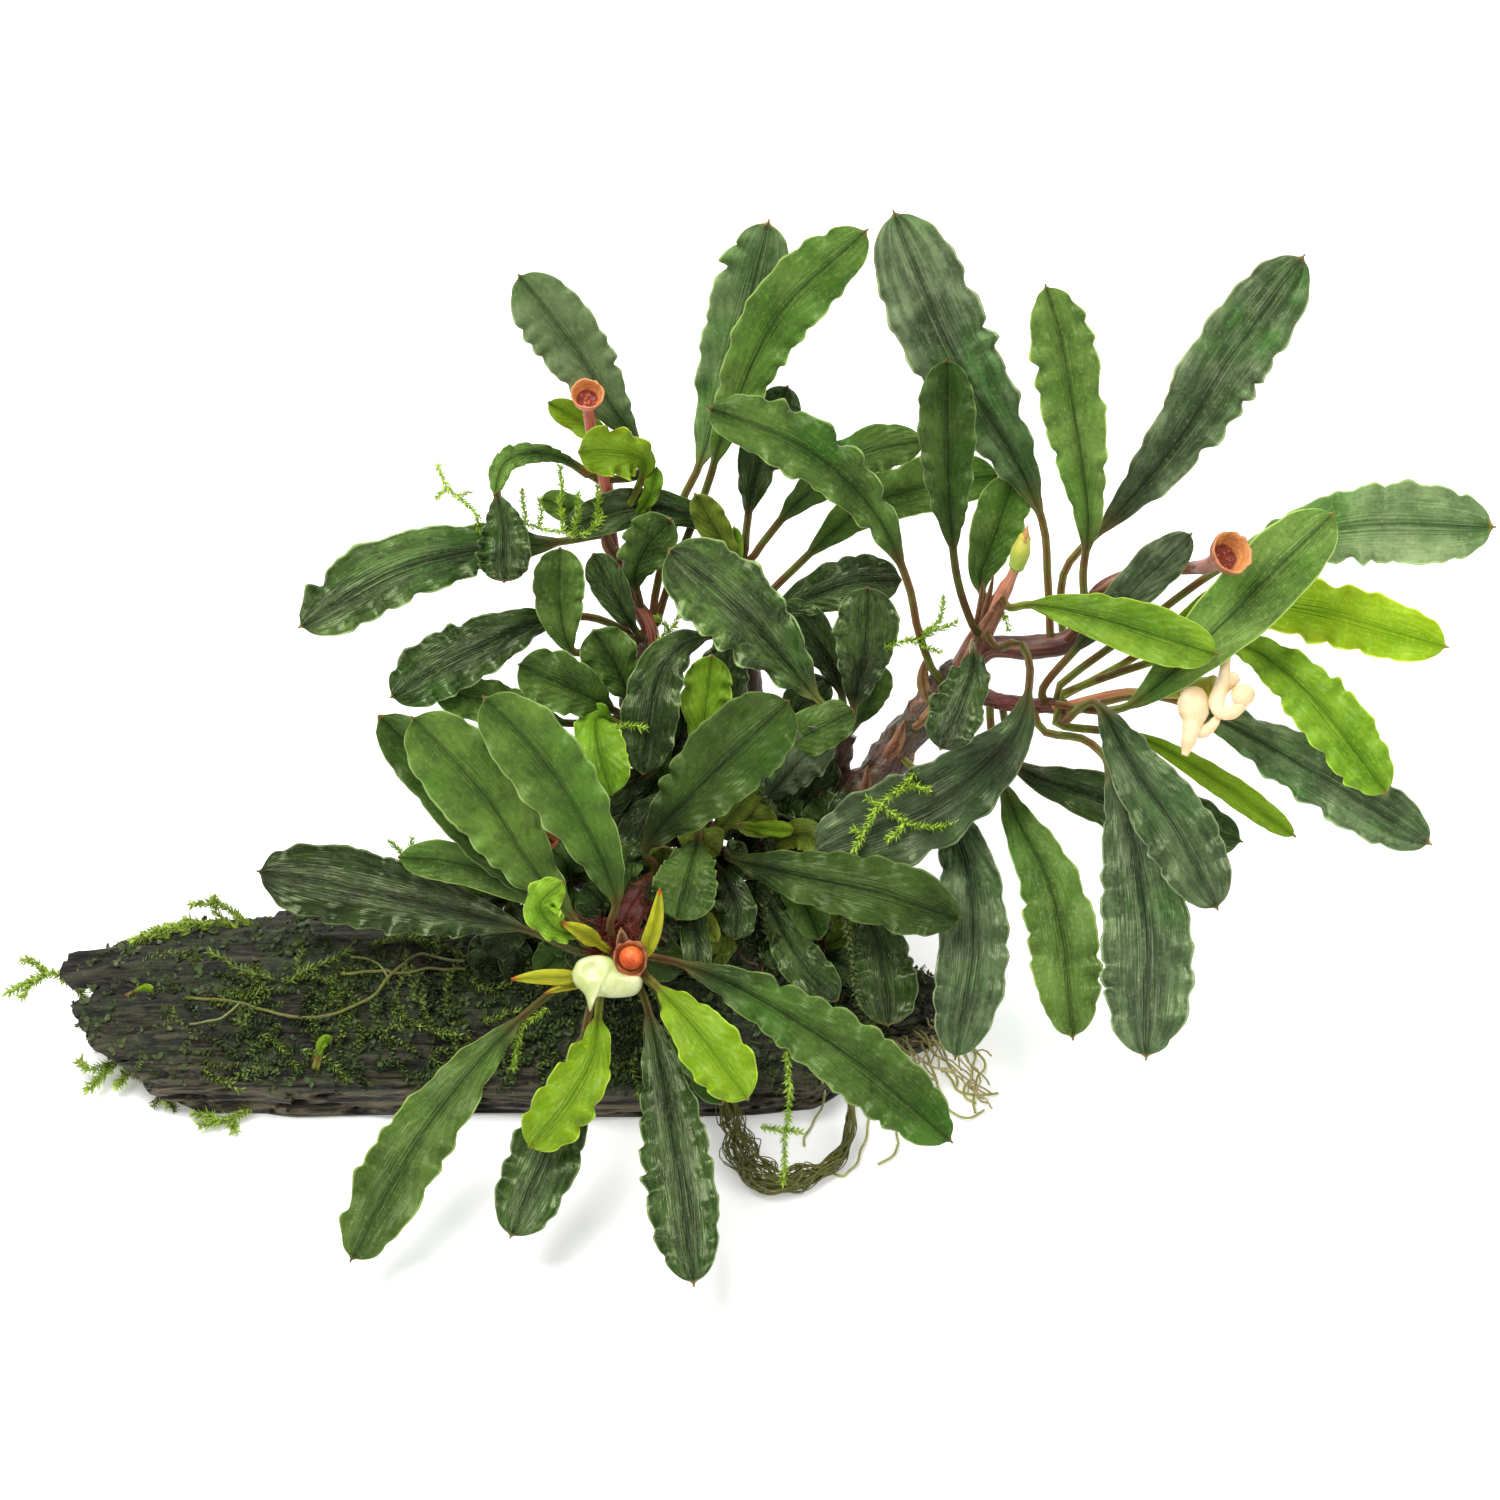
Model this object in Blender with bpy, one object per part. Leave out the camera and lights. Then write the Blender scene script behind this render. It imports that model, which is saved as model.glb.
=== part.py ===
"""Bucephalandra on driftwood: a creeping plant with wavy leaves, on a flat-bottomed piece of wood.

Sizes are in millimetres and become metres when a point is placed. The driftwood is laid out
from above. Everything that grows is laid out as it is seen by a viewer who looks down at the
front from 45 degrees: u to the right of the origin, v above it, and w nearer to the viewer.
"""
import math
from collections import namedtuple

import bmesh
import bpy
from mathutils import Vector

MM = 0.001
VIEW_ELEVATION = math.radians(45.0)
VIEW_DISTANCE = 1500.0
VIEW_CENTRE = (50.0, 58.0)
UP_IN_VIEW = Vector((0.0, math.sin(VIEW_ELEVATION), math.cos(VIEW_ELEVATION)))
TO_VIEWER = Vector((0.0, -math.cos(VIEW_ELEVATION), math.sin(VIEW_ELEVATION)))
RIGHT = Vector((1.0, 0.0, 0.0))

# Leaf section: half width of the stalk, and the blade's rib above and below its margins.
STALK_HALF = 0.75
RIB_ABOVE = 0.35
RIB_BELOW = 0.65
BLADE_STATIONS = 10
SMALL_BLADE_STATIONS = 7
STALK_STATIONS = 2
TIP_CROWDING = 1.4
WAVE_ACROSS = 0.06
WAVE_UP = 0.55

# Material of each kind of piece: colour, roughness.
FINISHES = {
    "wood": ((0.045, 0.035, 0.030), 0.85),
    "rhizome": ((0.110, 0.040, 0.025), 0.70),
    "red_stem": ((0.260, 0.060, 0.045), 0.45),
    "leaf_dark": ((0.030, 0.065, 0.030), 0.35),
    "leaf_mid": ((0.055, 0.150, 0.035), 0.35),
    "leaf_bright": ((0.130, 0.330, 0.030), 0.35),
    "leaf_lime": ((0.300, 0.520, 0.030), 0.35),
    "cream": ((0.840, 0.800, 0.560), 0.50),
    "orange": ((0.850, 0.140, 0.020), 0.50),
    "root": ((0.200, 0.170, 0.060), 0.70),
    "moss": ((0.180, 0.300, 0.050), 0.85),
}

# Driftwood from above: along x, front edge, back edge, height of the front edge, height of the top.
WOOD_STATIONS = [
    (-86.0, 4.0, 12.0, 5.0, 9.0),
    (-80.0, -1.0, 15.0, 6.0, 11.0),
    (-73.0, -9.0, 17.0, 7.0, 12.0),
    (-64.0, -17.0, 18.5, 8.0, 13.5),
    (-52.0, -20.0, 21.0, 9.0, 15.0),
    (-40.0, -22.0, 23.0, 9.0, 16.5),
    (-25.0, -21.5, 23.0, 8.5, 17.0),
    (-10.0, -21.0, 22.5, 8.5, 18.0),
    (5.0, -21.0, 22.0, 8.5, 18.5),
    (20.0, -22.0, 22.0, 9.0, 18.5),
    (35.0, -22.0, 21.0, 9.0, 18.0),
    (50.0, -21.5, 20.0, 9.0, 17.0),
    (62.0, -20.0, 18.0, 8.5, 15.0),
    (72.0, -13.0, 15.0, 7.5, 13.0),
    (80.0, -6.0, 12.0, 6.5, 11.0),
    (87.0, -1.0, 8.0, 5.5, 9.0),
]
WOOD_TOP_POINTS = 7
WOOD_RIDGE = 1.3
# Mossy clump of old roots on the wood, where the rhizomes come out: centre, reach and height.
CLUMP_CENTRE = (46.0, 13.0)
CLUMP_REACH = (19.0, 11.0)
CLUMP_HEIGHT = 11.0

Leaf = namedtuple("Leaf", "name finish width neck route roll", defaults=(0.0,))

FRONT_LEAVES = [
    Leaf("leaf_front_1", "leaf_mid", 19.0, 0.10,
         [(16.5, 19.5, 32), (15.6, 23, 35), (6, 35, 38), (-4, 50, 41), (-17.8, 64.8, 43)]),
    Leaf("leaf_front_2", "leaf_mid", 17.6, 0.05,
         [(22, 23, 36), (23, 29, 39), (17.5, 42, 43), (8.5, 56, 46), (-3.4, 68.8, 48)]),
    Leaf("leaf_front_3", "leaf_dark", 17.0, 0.16,
         [(16, 17.5, 31), (5.4, 22, 28), (-12, 26.5, 23), (-30, 30.5, 18), (-48.6, 33.8, 15)]),
    Leaf("leaf_front_4", "leaf_lime", 12.4, 0.08,
         [(20, 8, 39), (18.5, -3, 46), (13, -13, 50), (5.6, -21.6, 52)]),
    Leaf("leaf_front_5", "leaf_dark", 15.0, 0.12,
         [(18.4, 8, 34), (15, -7, 41), (9, -23, 47), (2, -39.6, 52)]),
    Leaf("leaf_front_6", "leaf_mid", 14.8, 0.16,
         [(15, 13, 34), (4.4, 4.5, 37), (-8.4, -9, 42), (-19.6, -25, 48), (-30, -44.4, 54)]),
    Leaf("leaf_front_7", "leaf_dark", 15.0, 0.10,
         [(26, 12, 35), (29, 8, 38), (33, -10, 47), (36.2, -30, 56), (38.8, -49.2, 64)]),
    Leaf("leaf_front_8", "leaf_lime", 13.2, 0.12,
         [(28.8, 13.2, 38), (34, 8, 44), (41, 0, 49), (49.6, -12, 54)]),
    Leaf("leaf_front_9", "leaf_dark", 15.6, 0.10,
         [(27.5, 17, 33), (37, 15, 37), (52.6, 8, 41), (72.4, -5, 44), (90.6, -20.6, 46)]),
]

CENTRE_LEAVES = [
    Leaf("leaf_centre_1", "leaf_mid", 18.4, 0.06,
         [(31, 35, 21), (29.5, 39, 23), (41, 52, 29), (58, 68, 33)]),
    Leaf("leaf_centre_2", "leaf_mid", 12.4, 0.28,
         [(40, 42, 14), (39.4, 38, 20), (38, 31, 25), (36.0, 24, 28)]),
    Leaf("leaf_centre_3", "leaf_mid", 14.8, 0.10,
         [(45, 38, 13), (47, 36, 20), (60, 33, 27), (76, 29.5, 31), (92.4, 24, 33)]),
    Leaf("leaf_centre_4", "leaf_bright", 12.0, 0.12,
         [(25.5, 62.5, 14), (19.5, 64.5, 19), (20, 57, 24), (22.4, 48.8, 25)]),
    Leaf("leaf_centre_5", "leaf_dark", 13.6, 0.45,
         [(46, 33, 12), (60, 32, 14), (73, 25, 18), (77, 12, 21), (77.6, 2.6, 22)]),
]

LEFT_LEAVES = [
    Leaf("leaf_left_1", "leaf_dark", 15.0, 0.10,
         [(20, 101, 16), (11, 99.5, 19), (-5, 98, 23), (-22, 93.6, 28), (-40.4, 82.4, 30)]),
    Leaf("leaf_left_2", "leaf_dark", 10.4, 0.45,
         [(18.4, 112.5, 18.5), (12.5, 116.2, 21), (5, 117.2, 25), (-0.6, 112.5, 29),
          (0.8, 102, 31), (0.8, 91.4, 32)]),
    Leaf("leaf_left_3", "leaf_dark", 14.0, 0.25,
         [(26, 81.5, 13), (17.8, 84.6, 14), (7, 83.6, 17), (-3, 79.2, 19),
          (-11, 75.4, 20.5), (-22, 68.4, 22)]),
    Leaf("leaf_left_4", "leaf_bright", 11.2, 0.30,
         [(24, 80, 16), (15, 77.5, 19), (12, 86, 23), (12, 98.6, 25)]),
    Leaf("leaf_left_5", "leaf_dark", 11.0, 0.10,
         [(22.6, 67, 12.5), (14, 71, 22), (3.6, 75.2, 25)]),
]

TOP_LEAVES = [
    Leaf("leaf_top_1", "leaf_mid", 14.6, 0.12,
         [(27.6, 113, 20), (27.8, 118.6, 22), (22.2, 127, 25), (14.5, 139, 29), (3.6, 153.2, 32)]),
    Leaf("leaf_top_2", "leaf_mid", 16.4, 0.32,
         [(31, 90, 13), (36.2, 107.2, 15), (40.2, 116, 16), (47.6, 140, 21), (53.8, 164, 30)]),
    Leaf("leaf_top_3", "leaf_mid", 14.4, 0.30,
         [(33.5, 90, 13), (41.2, 110, 18), (45, 122, 24), (55.6, 145, 32), (73.6, 162.2, 38)]),
    Leaf("leaf_top_4", "leaf_mid", 12.4, 0.33,
         [(87, 73, 20), (83.6, 82, 24), (81.4, 92, 28), (74.5, 106, 31),
          (61, 118.5, 33), (41.2, 126.6, 34)]),
    Leaf("leaf_top_5", "leaf_dark", 11.0, 0.18,
         [(49, 98, 13), (49.4, 103, 14), (51.5, 115, 18), (57.6, 131, 22)]),
    Leaf("leaf_top_6", "leaf_dark", 10.4, 0.18,
         [(50.5, 96.5, 13), (53, 100, 14), (60, 108, 18), (72, 117, 21), (85, 120, 23)]),
    Leaf("leaf_top_7", "leaf_bright", 12.0, 0.20,
         [(52.4, 88, 9), (57.5, 93, 9), (72, 106, 11), (86, 111, 12.5), (100, 113, 13)]),
]

RIGHT_TOP_LEAVES = [
    Leaf("leaf_right_top_1", "leaf_dark", 12.4, 0.28,
         [(95, 82, 24), (91.5, 92, 27), (90, 106, 31), (89.4, 121, 35), (89.4, 136.4, 38)]),
    Leaf("leaf_right_top_2", "leaf_dark", 19.4, 0.24,
         [(110, 82, 22), (109.5, 93, 20), (108.4, 104, 20), (102, 118, 23),
          (93.4, 132, 26.5), (84.9, 150, 31), (78.6, 166, 34)]),
    Leaf("leaf_right_top_3", "leaf_mid", 14.0, 0.16,
         [(117.4, 84.5, 25.6), (116.6, 93, 26.4), (117.6, 105, 28), (114.6, 126, 32),
          (112, 141, 34.5), (109, 151.2, 36)]),
    Leaf("leaf_right_top_4", "leaf_dark", 17.0, 0.22,
         [(112.5, 82, 18), (113, 94, 17), (121.6, 103.4, 18), (130.6, 113.6, 19.5),
          (138.5, 124.5, 21.5), (146, 136.5, 25), (161, 157.2, 30)]),
    Leaf("leaf_right_top_5", "leaf_bright", 12.0, 0.08,
         [(102, 86.5, 28), (107, 87, 32), (120, 84.5, 38), (143.6, 77, 42)]),
]

RIGHT_LEAVES = [
    Leaf("leaf_right_1", "leaf_dark", 9.6, 0.20,
         [(108.6, 70.4, 25), (115, 78, 28), (124, 87.5, 30), (138.4, 101.4, 34)]),
    Leaf("leaf_right_2", "leaf_bright", 16.0, 0.18,
         [(112, 67, 27), (126, 67, 33), (144, 83, 36), (157, 96, 37), (167, 105.6, 38)]),
    Leaf("leaf_right_3", "leaf_mid", 17.4, 0.42,
         [(112, 71, 19), (127, 82, 20), (148, 96.5, 22), (172, 103, 26), (199.2, 102.6, 30)]),
    Leaf("leaf_right_4", "leaf_bright", 13.4, 0.30,
         [(112, 68.5, 18), (126, 76, 17), (142, 87, 18), (163, 86, 22), (189.8, 78.5, 26)]),
    Leaf("leaf_right_5", "leaf_bright", 13.6, 0.38,
         [(112, 69, 22), (130, 75.5, 22), (147, 79, 25), (157.5, 73.3, 28),
          (166.2, 64.3, 31), (177.6, 49, 34)]),
    Leaf("leaf_right_6", "leaf_dark", 14.0, 0.28,
         [(112, 65, 20), (130, 69, 19), (148, 62, 21), (166, 51.6, 24), (186.4, 39, 26)]),
    Leaf("leaf_right_7", "leaf_dark", 15.6, 0.14,
         [(112.6, 63.4, 28.4), (119, 67.4, 33), (126, 56, 38), (136, 41, 42), (143.6, 26, 45)]),
    Leaf("leaf_right_8", "leaf_dark", 19.6, 0.22,
         [(108, 61, 23), (118, 59.5, 25), (124, 50, 28), (129, 25, 35), (129.2, -4, 41)]),
    Leaf("leaf_right_9", "leaf_mid", 15.0, 0.20,
         [(98, 62, 18), (100.4, 52, 21), (104, 43, 25), (109.5, 32.5, 29),
          (112.7, 18.9, 33.5), (114.6, 0, 37)]),
    Leaf("leaf_right_10", "leaf_dark", 13.6, 0.16,
         [(101, 62, 15), (104, 54, 15), (120, 48.5, 17), (148.6, 39.6, 20)]),
    Leaf("leaf_right_11", "leaf_dark", 18.0, 0.24,
         [(99.5, 78.5, 27), (104, 79.5, 31), (106, 73, 34), (101, 61, 34),
          (86, 49.5, 30), (62.4, 38.6, 24)]),
    Leaf("leaf_right_12", "leaf_dark", 11.6, 0.12,
         [(94.6, 79, 28), (94.5, 74, 36), (91, 65, 39), (88, 58, 40)]),
    Leaf("leaf_right_13", "leaf_lime", 6.0, 0.20,
         [(112, 63, 24), (128, 60.5, 26), (144, 51.5, 27), (159.2, 40.6, 30)]),
    Leaf("leaf_right_14", "leaf_dark", 15.2, 0.30,
         [(80, 58, 18), (88.6, 47, 20), (93.6, 34, 24), (94.6, 18, 28), (91, -4, 32)]),
]

MIDDLE_LEAVES = [
    Leaf("leaf_middle_1", "leaf_dark", 18.4, 0.12,
         [(67, 64, 16), (62.4, 69.5, 21), (49, 85, 27), (33.6, 98.4, 32)]),
    Leaf("leaf_middle_2", "leaf_dark", 11.6, 0.25,
         [(70, 63, 15), (71, 68, 18), (73, 79, 21), (73.6, 90.8, 24)]),
]

ALL_LEAVES = (
    FRONT_LEAVES + CENTRE_LEAVES + LEFT_LEAVES + TOP_LEAVES + RIGHT_TOP_LEAVES + RIGHT_LEAVES + MIDDLE_LEAVES
)


def place(u, v, w):
    """World point of a point that the viewer sees u to the right and v up, w nearer than the origin."""
    nearer = (VIEW_DISTANCE - w) / VIEW_DISTANCE
    right = VIEW_CENTRE[0] + (u - VIEW_CENTRE[0]) * nearer
    up = VIEW_CENTRE[1] + (v - VIEW_CENTRE[1]) * nearer
    return (RIGHT * right + UP_IN_VIEW * up + TO_VIEWER * w) * MM


def smooth_route(points, steps_per_span=12):
    """Points along the smooth curve that passes through the given ones."""
    ends = [points[0] * 2 - points[1]] + list(points) + [points[-1] * 2 - points[-2]]
    curve = []
    for index in range(1, len(ends) - 2):
        before, start, end, after = ends[index - 1:index + 3]
        for step in range(steps_per_span):
            t = step / steps_per_span
            curve.append(0.5 * (
                2 * start
                + (end - before) * t
                + (2 * before - 5 * start + 4 * end - after) * t ** 2
                + (3 * start - before - 3 * end + after) * t ** 3
            ))
    curve.append(points[-1].copy())
    return curve


def lengths_along(curve):
    """Distance of each point of the curve from its start."""
    total = 0.0
    lengths = [0.0]
    for start, end in zip(curve, curve[1:]):
        total += (end - start).length
        lengths.append(total)
    return lengths


def at_share(curve, lengths, share):
    """Point and direction at a share of the curve's length."""
    distance = min(max(share, 0.0), 1.0) * lengths[-1]
    index = 1
    while index < len(lengths) - 1 and lengths[index] < distance:
        index += 1
    span = max(lengths[index] - lengths[index - 1], 1e-9)
    t = (distance - lengths[index - 1]) / span
    point = curve[index - 1].lerp(curve[index], t)
    before = curve[max(index - 2, 0)]
    after = curve[min(index + 1, len(curve) - 1)]
    return point, (after - before).normalized()


def blade_profile(t):
    """Half width of a blade as a share of its greatest, from its neck at 0 to its tip at 1."""
    rising = 1.0 - (1.0 - t) ** 3
    rounding = math.sqrt(max(1.0 - t ** 7, 0.0))
    return rising * rounding


def new_object(name, mesh_data, finish, smooth=False):
    """Put a closed bmesh in the scene as a named object with its own material."""
    bmesh.ops.recalc_face_normals(mesh_data, faces=mesh_data.faces)
    mesh = bpy.data.meshes.new(name)
    mesh_data.to_mesh(mesh)
    mesh_data.free()
    for polygon in mesh.polygons:
        polygon.use_smooth = smooth
    colour, roughness = FINISHES[finish]
    material = bpy.data.materials.new(name + "_" + finish)
    material.use_nodes = True
    shader = material.node_tree.nodes["Principled BSDF"]
    shader.inputs["Base Color"].default_value = (*colour, 1.0)
    shader.inputs["Roughness"].default_value = roughness
    mesh.materials.append(material)
    item = bpy.data.objects.new(name, mesh)
    bpy.context.scene.collection.objects.link(item)
    return item


def bridge_rings(mesh_data, rings):
    """Join equal rings of vertices with faces and close both ends."""
    for near, far in zip(rings, rings[1:]):
        count = len(near)
        for index in range(count):
            following = (index + 1) % count
            mesh_data.faces.new((near[index], near[following], far[following], far[index]))
    mesh_data.faces.new(list(reversed(rings[0])))
    mesh_data.faces.new(rings[-1])


def leaf_mesh(leaf, stations=BLADE_STATIONS):
    """Closed mesh of a leaf: a thin four-cornered section swept along its rib."""
    curve = smooth_route([place(*point) for point in leaf.route])
    lengths = lengths_along(curve)
    shares = [leaf.neck * index / STALK_STATIONS for index in range(STALK_STATIONS)]
    shares += [
        1.0 - (1.0 - leaf.neck) * (1.0 - index / stations) ** TIP_CROWDING
        for index in range(stations + 1)
    ]
    mesh_data = bmesh.new()
    rings = []
    for number, share in enumerate(shares):
        blade = max(0.0, (share - leaf.neck) / (1.0 - leaf.neck))
        point, along = at_share(curve, lengths, share)
        facing = TO_VIEWER - along * along.dot(TO_VIEWER)
        facing.normalize()
        side = along.cross(facing)
        turn = math.radians(leaf.roll)
        facing, side = (
            facing * math.cos(turn) + side * math.sin(turn),
            side * math.cos(turn) - facing * math.sin(turn),
        )
        wave = math.sin(number * math.pi / 2.0 + 0.8)
        half = max(STALK_HALF, leaf.width / 2.0 * blade_profile(blade) * (1.0 + WAVE_ACROSS * wave))
        lift = 0.12 * (half - STALK_HALF)
        ripple = WAVE_UP * wave * min(1.0, half / 5.0) if half > STALK_HALF else 0.0
        corners = [
            point + (side * half + facing * (lift + ripple)) * MM,
            point + facing * RIB_ABOVE * MM,
            point + (side * -half + facing * (lift - ripple)) * MM,
            point - facing * RIB_BELOW * MM,
        ]
        rings.append([mesh_data.verts.new(corner) for corner in corners])
    bridge_rings(mesh_data, rings)
    bmesh.ops.triangulate(mesh_data, faces=mesh_data.faces)
    return mesh_data


def wood_height(x, y, front, back, front_height, top_height):
    """Height of the wood's weathered top, which rises from front to back and drops at the back."""
    share = (y - front) / (back - front)
    rise = math.sin(min(share / 0.72, 1.0) * math.pi / 2.0)
    drop = max(0.0, (share - 0.72) / 0.28)
    height = front_height + (top_height - front_height) * rise
    height -= drop ** 2 * top_height * 0.28
    ridges = math.sin(x * 0.21 + y * 0.9) + 0.6 * math.sin(x * 0.09 - y * 1.7)
    across, along = (x - CLUMP_CENTRE[0]) / CLUMP_REACH[0], (y - CLUMP_CENTRE[1]) / CLUMP_REACH[1]
    clump = CLUMP_HEIGHT * math.exp(-across ** 2 - along ** 2)
    return height + WOOD_RIDGE * ridges * 0.5 + clump


def wood_body():
    """Weathered wood with a flat underside, jagged at both ends."""
    mesh_data = bmesh.new()
    rings = []
    last = len(WOOD_STATIONS) - 1
    for number, (x, front, back, front_height, top_height) in enumerate(WOOD_STATIONS):
        profile = [(front + 1.5, 0.0), (front, front_height * 0.55)]
        for index in range(WOOD_TOP_POINTS):
            share = index / (WOOD_TOP_POINTS - 1)
            y = front + 0.8 + (back - front - 1.6) * share
            profile.append((y, wood_height(x, y, front, back, front_height, top_height)))
        profile += [(back, top_height * 0.4), (back - 1.5, 0.0)]
        ring = []
        for index, (y, z) in enumerate(profile):
            jag = 0.0
            if number == 0:
                jag = 2.6 * math.sin(index * 2.4)
            elif number == last:
                jag = 2.0 * math.sin(index * 2.1 + 1.0)
            ring.append(mesh_data.verts.new(Vector((x + jag, y, z)) * MM))
        rings.append(ring)
    bridge_rings(mesh_data, rings)
    return new_object("driftwood", mesh_data, "wood")


def swept_rings(mesh_data, points, directions, radii, sides):
    """Round rings of vertices along a path, each turned as little as possible from the last."""
    rings = []
    side = directions[0].orthogonal().normalized()
    for point, along, radius in zip(points, directions, radii):
        side = (side - along * side.dot(along)).normalized()
        other = along.cross(side)
        ring = []
        for corner in range(sides):
            angle = 2.0 * math.pi * corner / sides
            offset = side * math.cos(angle) + other * math.sin(angle)
            ring.append(mesh_data.verts.new(point + offset * radius * MM))
        rings.append(ring)
    return rings


def tube_mesh(points, radii, sides=7, mouth=(), mouth_axis=None, steps=2):
    """Closed round stem along points, with a radius at each; mouth adds rings along its own axis."""
    curve = smooth_route(points, steps_per_span=steps)
    directions = []
    widths = []
    for index in range(len(curve)):
        before = curve[max(index - 1, 0)]
        after = curve[min(index + 1, len(curve) - 1)]
        directions.append((after - before).normalized())
        position = index / steps
        first = min(int(position), len(radii) - 2)
        widths.append(radii[first] + (radii[first + 1] - radii[first]) * (position - first))
    if mouth:
        axis = (RIGHT * mouth_axis[0] + UP_IN_VIEW * mouth_axis[1] + TO_VIEWER * mouth_axis[2]).normalized()
        end = curve[-1]
        for advance, radius in mouth:
            curve.append(end + axis * advance * MM)
            directions.append(axis)
            widths.append(radius)
    mesh_data = bmesh.new()
    bridge_rings(mesh_data, swept_rings(mesh_data, curve, directions, widths, sides))
    return mesh_data


def view_route(*points):
    return [place(*point) for point in points]


def join_small(item, *small_pieces):
    """Fuse small pieces to the piece that they grow from."""
    for number, mesh_data in enumerate(small_pieces, 1):
        helper = new_object(f"{item.name}_growth_{number}", mesh_data, "moss")
        helper.hide_render = True
        helper.display_type = "WIRE"
        union = item.modifiers.new("growth", "BOOLEAN")
        union.operation = "UNION"
        union.object = helper


def small_leaf(width, neck, *route):
    return leaf_mesh(Leaf("small", "leaf_dark", width, neck, list(route)), SMALL_BLADE_STATIONS)


def driftwood():
    """Weathered wood with a flat underside, with the moss and roots that reach past its ends."""
    item = wood_body()
    sprig_left = [Vector(point) * MM for point in ((-80, 9, 6), (-91, 8, 7.5), (-99, 7.5, 6))]
    sprig_low = [Vector(point) * MM for point in ((-72, -4, 4), (-79, -10, 3), (-84, -15, 1.5))]
    root_right = [Vector(point) * MM for point in ((80, 2, 4), (90, -8, 4), (95, -16, 3), (98, -22, 1.5))]
    join_small(
        item,
        tube_mesh(sprig_left, [1.6, 1.3, 0.6], sides=5),
        tube_mesh(sprig_low, [1.6, 1.3, 0.6], sides=5),
        tube_mesh(root_right, [1.6, 1.2, 1.0, 0.7], sides=5),
    )


def front_crown():
    """Rhizome at the front with its bracts and smallest leaves, and the open flower on it."""
    rhizome = view_route((35, 26, 13), (31.4, 30.5, 17), (27, 27, 25), (22.4, 18, 31))
    item = new_object("rhizome_front", tube_mesh(rhizome, [3.0, 3.0, 2.8, 2.6]), "rhizome", True)
    join_small(
        item,
        small_leaf(4.0, 0.15, (25, 20, 29), (29.8, 21.5, 38), (31.6, 25, 41), (32.2, 30, 43)),
        small_leaf(4.0, 0.15, (21.8, 17.4, 30), (14.5, 13.2, 39), (9, 13, 41), (2.4, 11.8, 43)),
        small_leaf(8.0, 0.20, (22.0, 18.6, 30), (13.5, 18, 38), (7.4, 22, 42), (9.8, 31.2, 44)),
        small_leaf(9.0, 0.20, (24, 16.5, 31), (32.5, 9, 32), (38, 0, 35), (44.4, -13, 38)),
        small_leaf(13.0, 0.20, (21, 20, 29), (7, 29, 30), (-3, 40, 32), (-12.6, 53, 34), (-24.4, 65, 35)),
        small_leaf(7.0, 0.20, (20, 19.5, 29), (6, 31, 30), (-7, 36.5, 29), (-19.6, 37, 28)),
    )
    spadix_stalk = view_route((24.6, 15.8, 34.4), (26.0, 16, 37))
    spadix_mouth = [(1.6, 2.2), (3.2, 3.4), (4.4, 4.0), (4.6, 3.6), (3.2, 2.6), (2.6, 1.6), (3.6, 2.2),
                    (5.0, 2.2), (6.0, 1.5), (6.5, 0.5)]
    spadix = tube_mesh(spadix_stalk, [0.9, 1.3], 9, spadix_mouth, (0.05, 0.1, 1.0))
    new_object("spadix", spadix, "orange", True)
    spathe_tail = view_route((17.4, 5.6, 46), (18.4, 8.5, 46.5), (20.6, 12.3, 47.2), (22, 16.4, 47))
    spathe = tube_mesh(spathe_tail, [0.4, 3.4, 4.2, 1.2], 10)
    widen_in_view(spathe, (20.6, 12.3, 47.2), 1.65, 0.62)
    new_object("spathe", spathe, "cream", True)


def widen_in_view(mesh_data, centre, across, deep):
    """Stretch a mesh to the viewer's right and press it flat toward the viewer, about a centre."""
    middle = place(*centre)
    for vertex in mesh_data.verts:
        offset = vertex.co - middle
        right = offset.dot(RIGHT)
        near = offset.dot(TO_VIEWER)
        vertex.co += RIGHT * right * (across - 1.0) + TO_VIEWER * near * (deep - 1.0)


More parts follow.
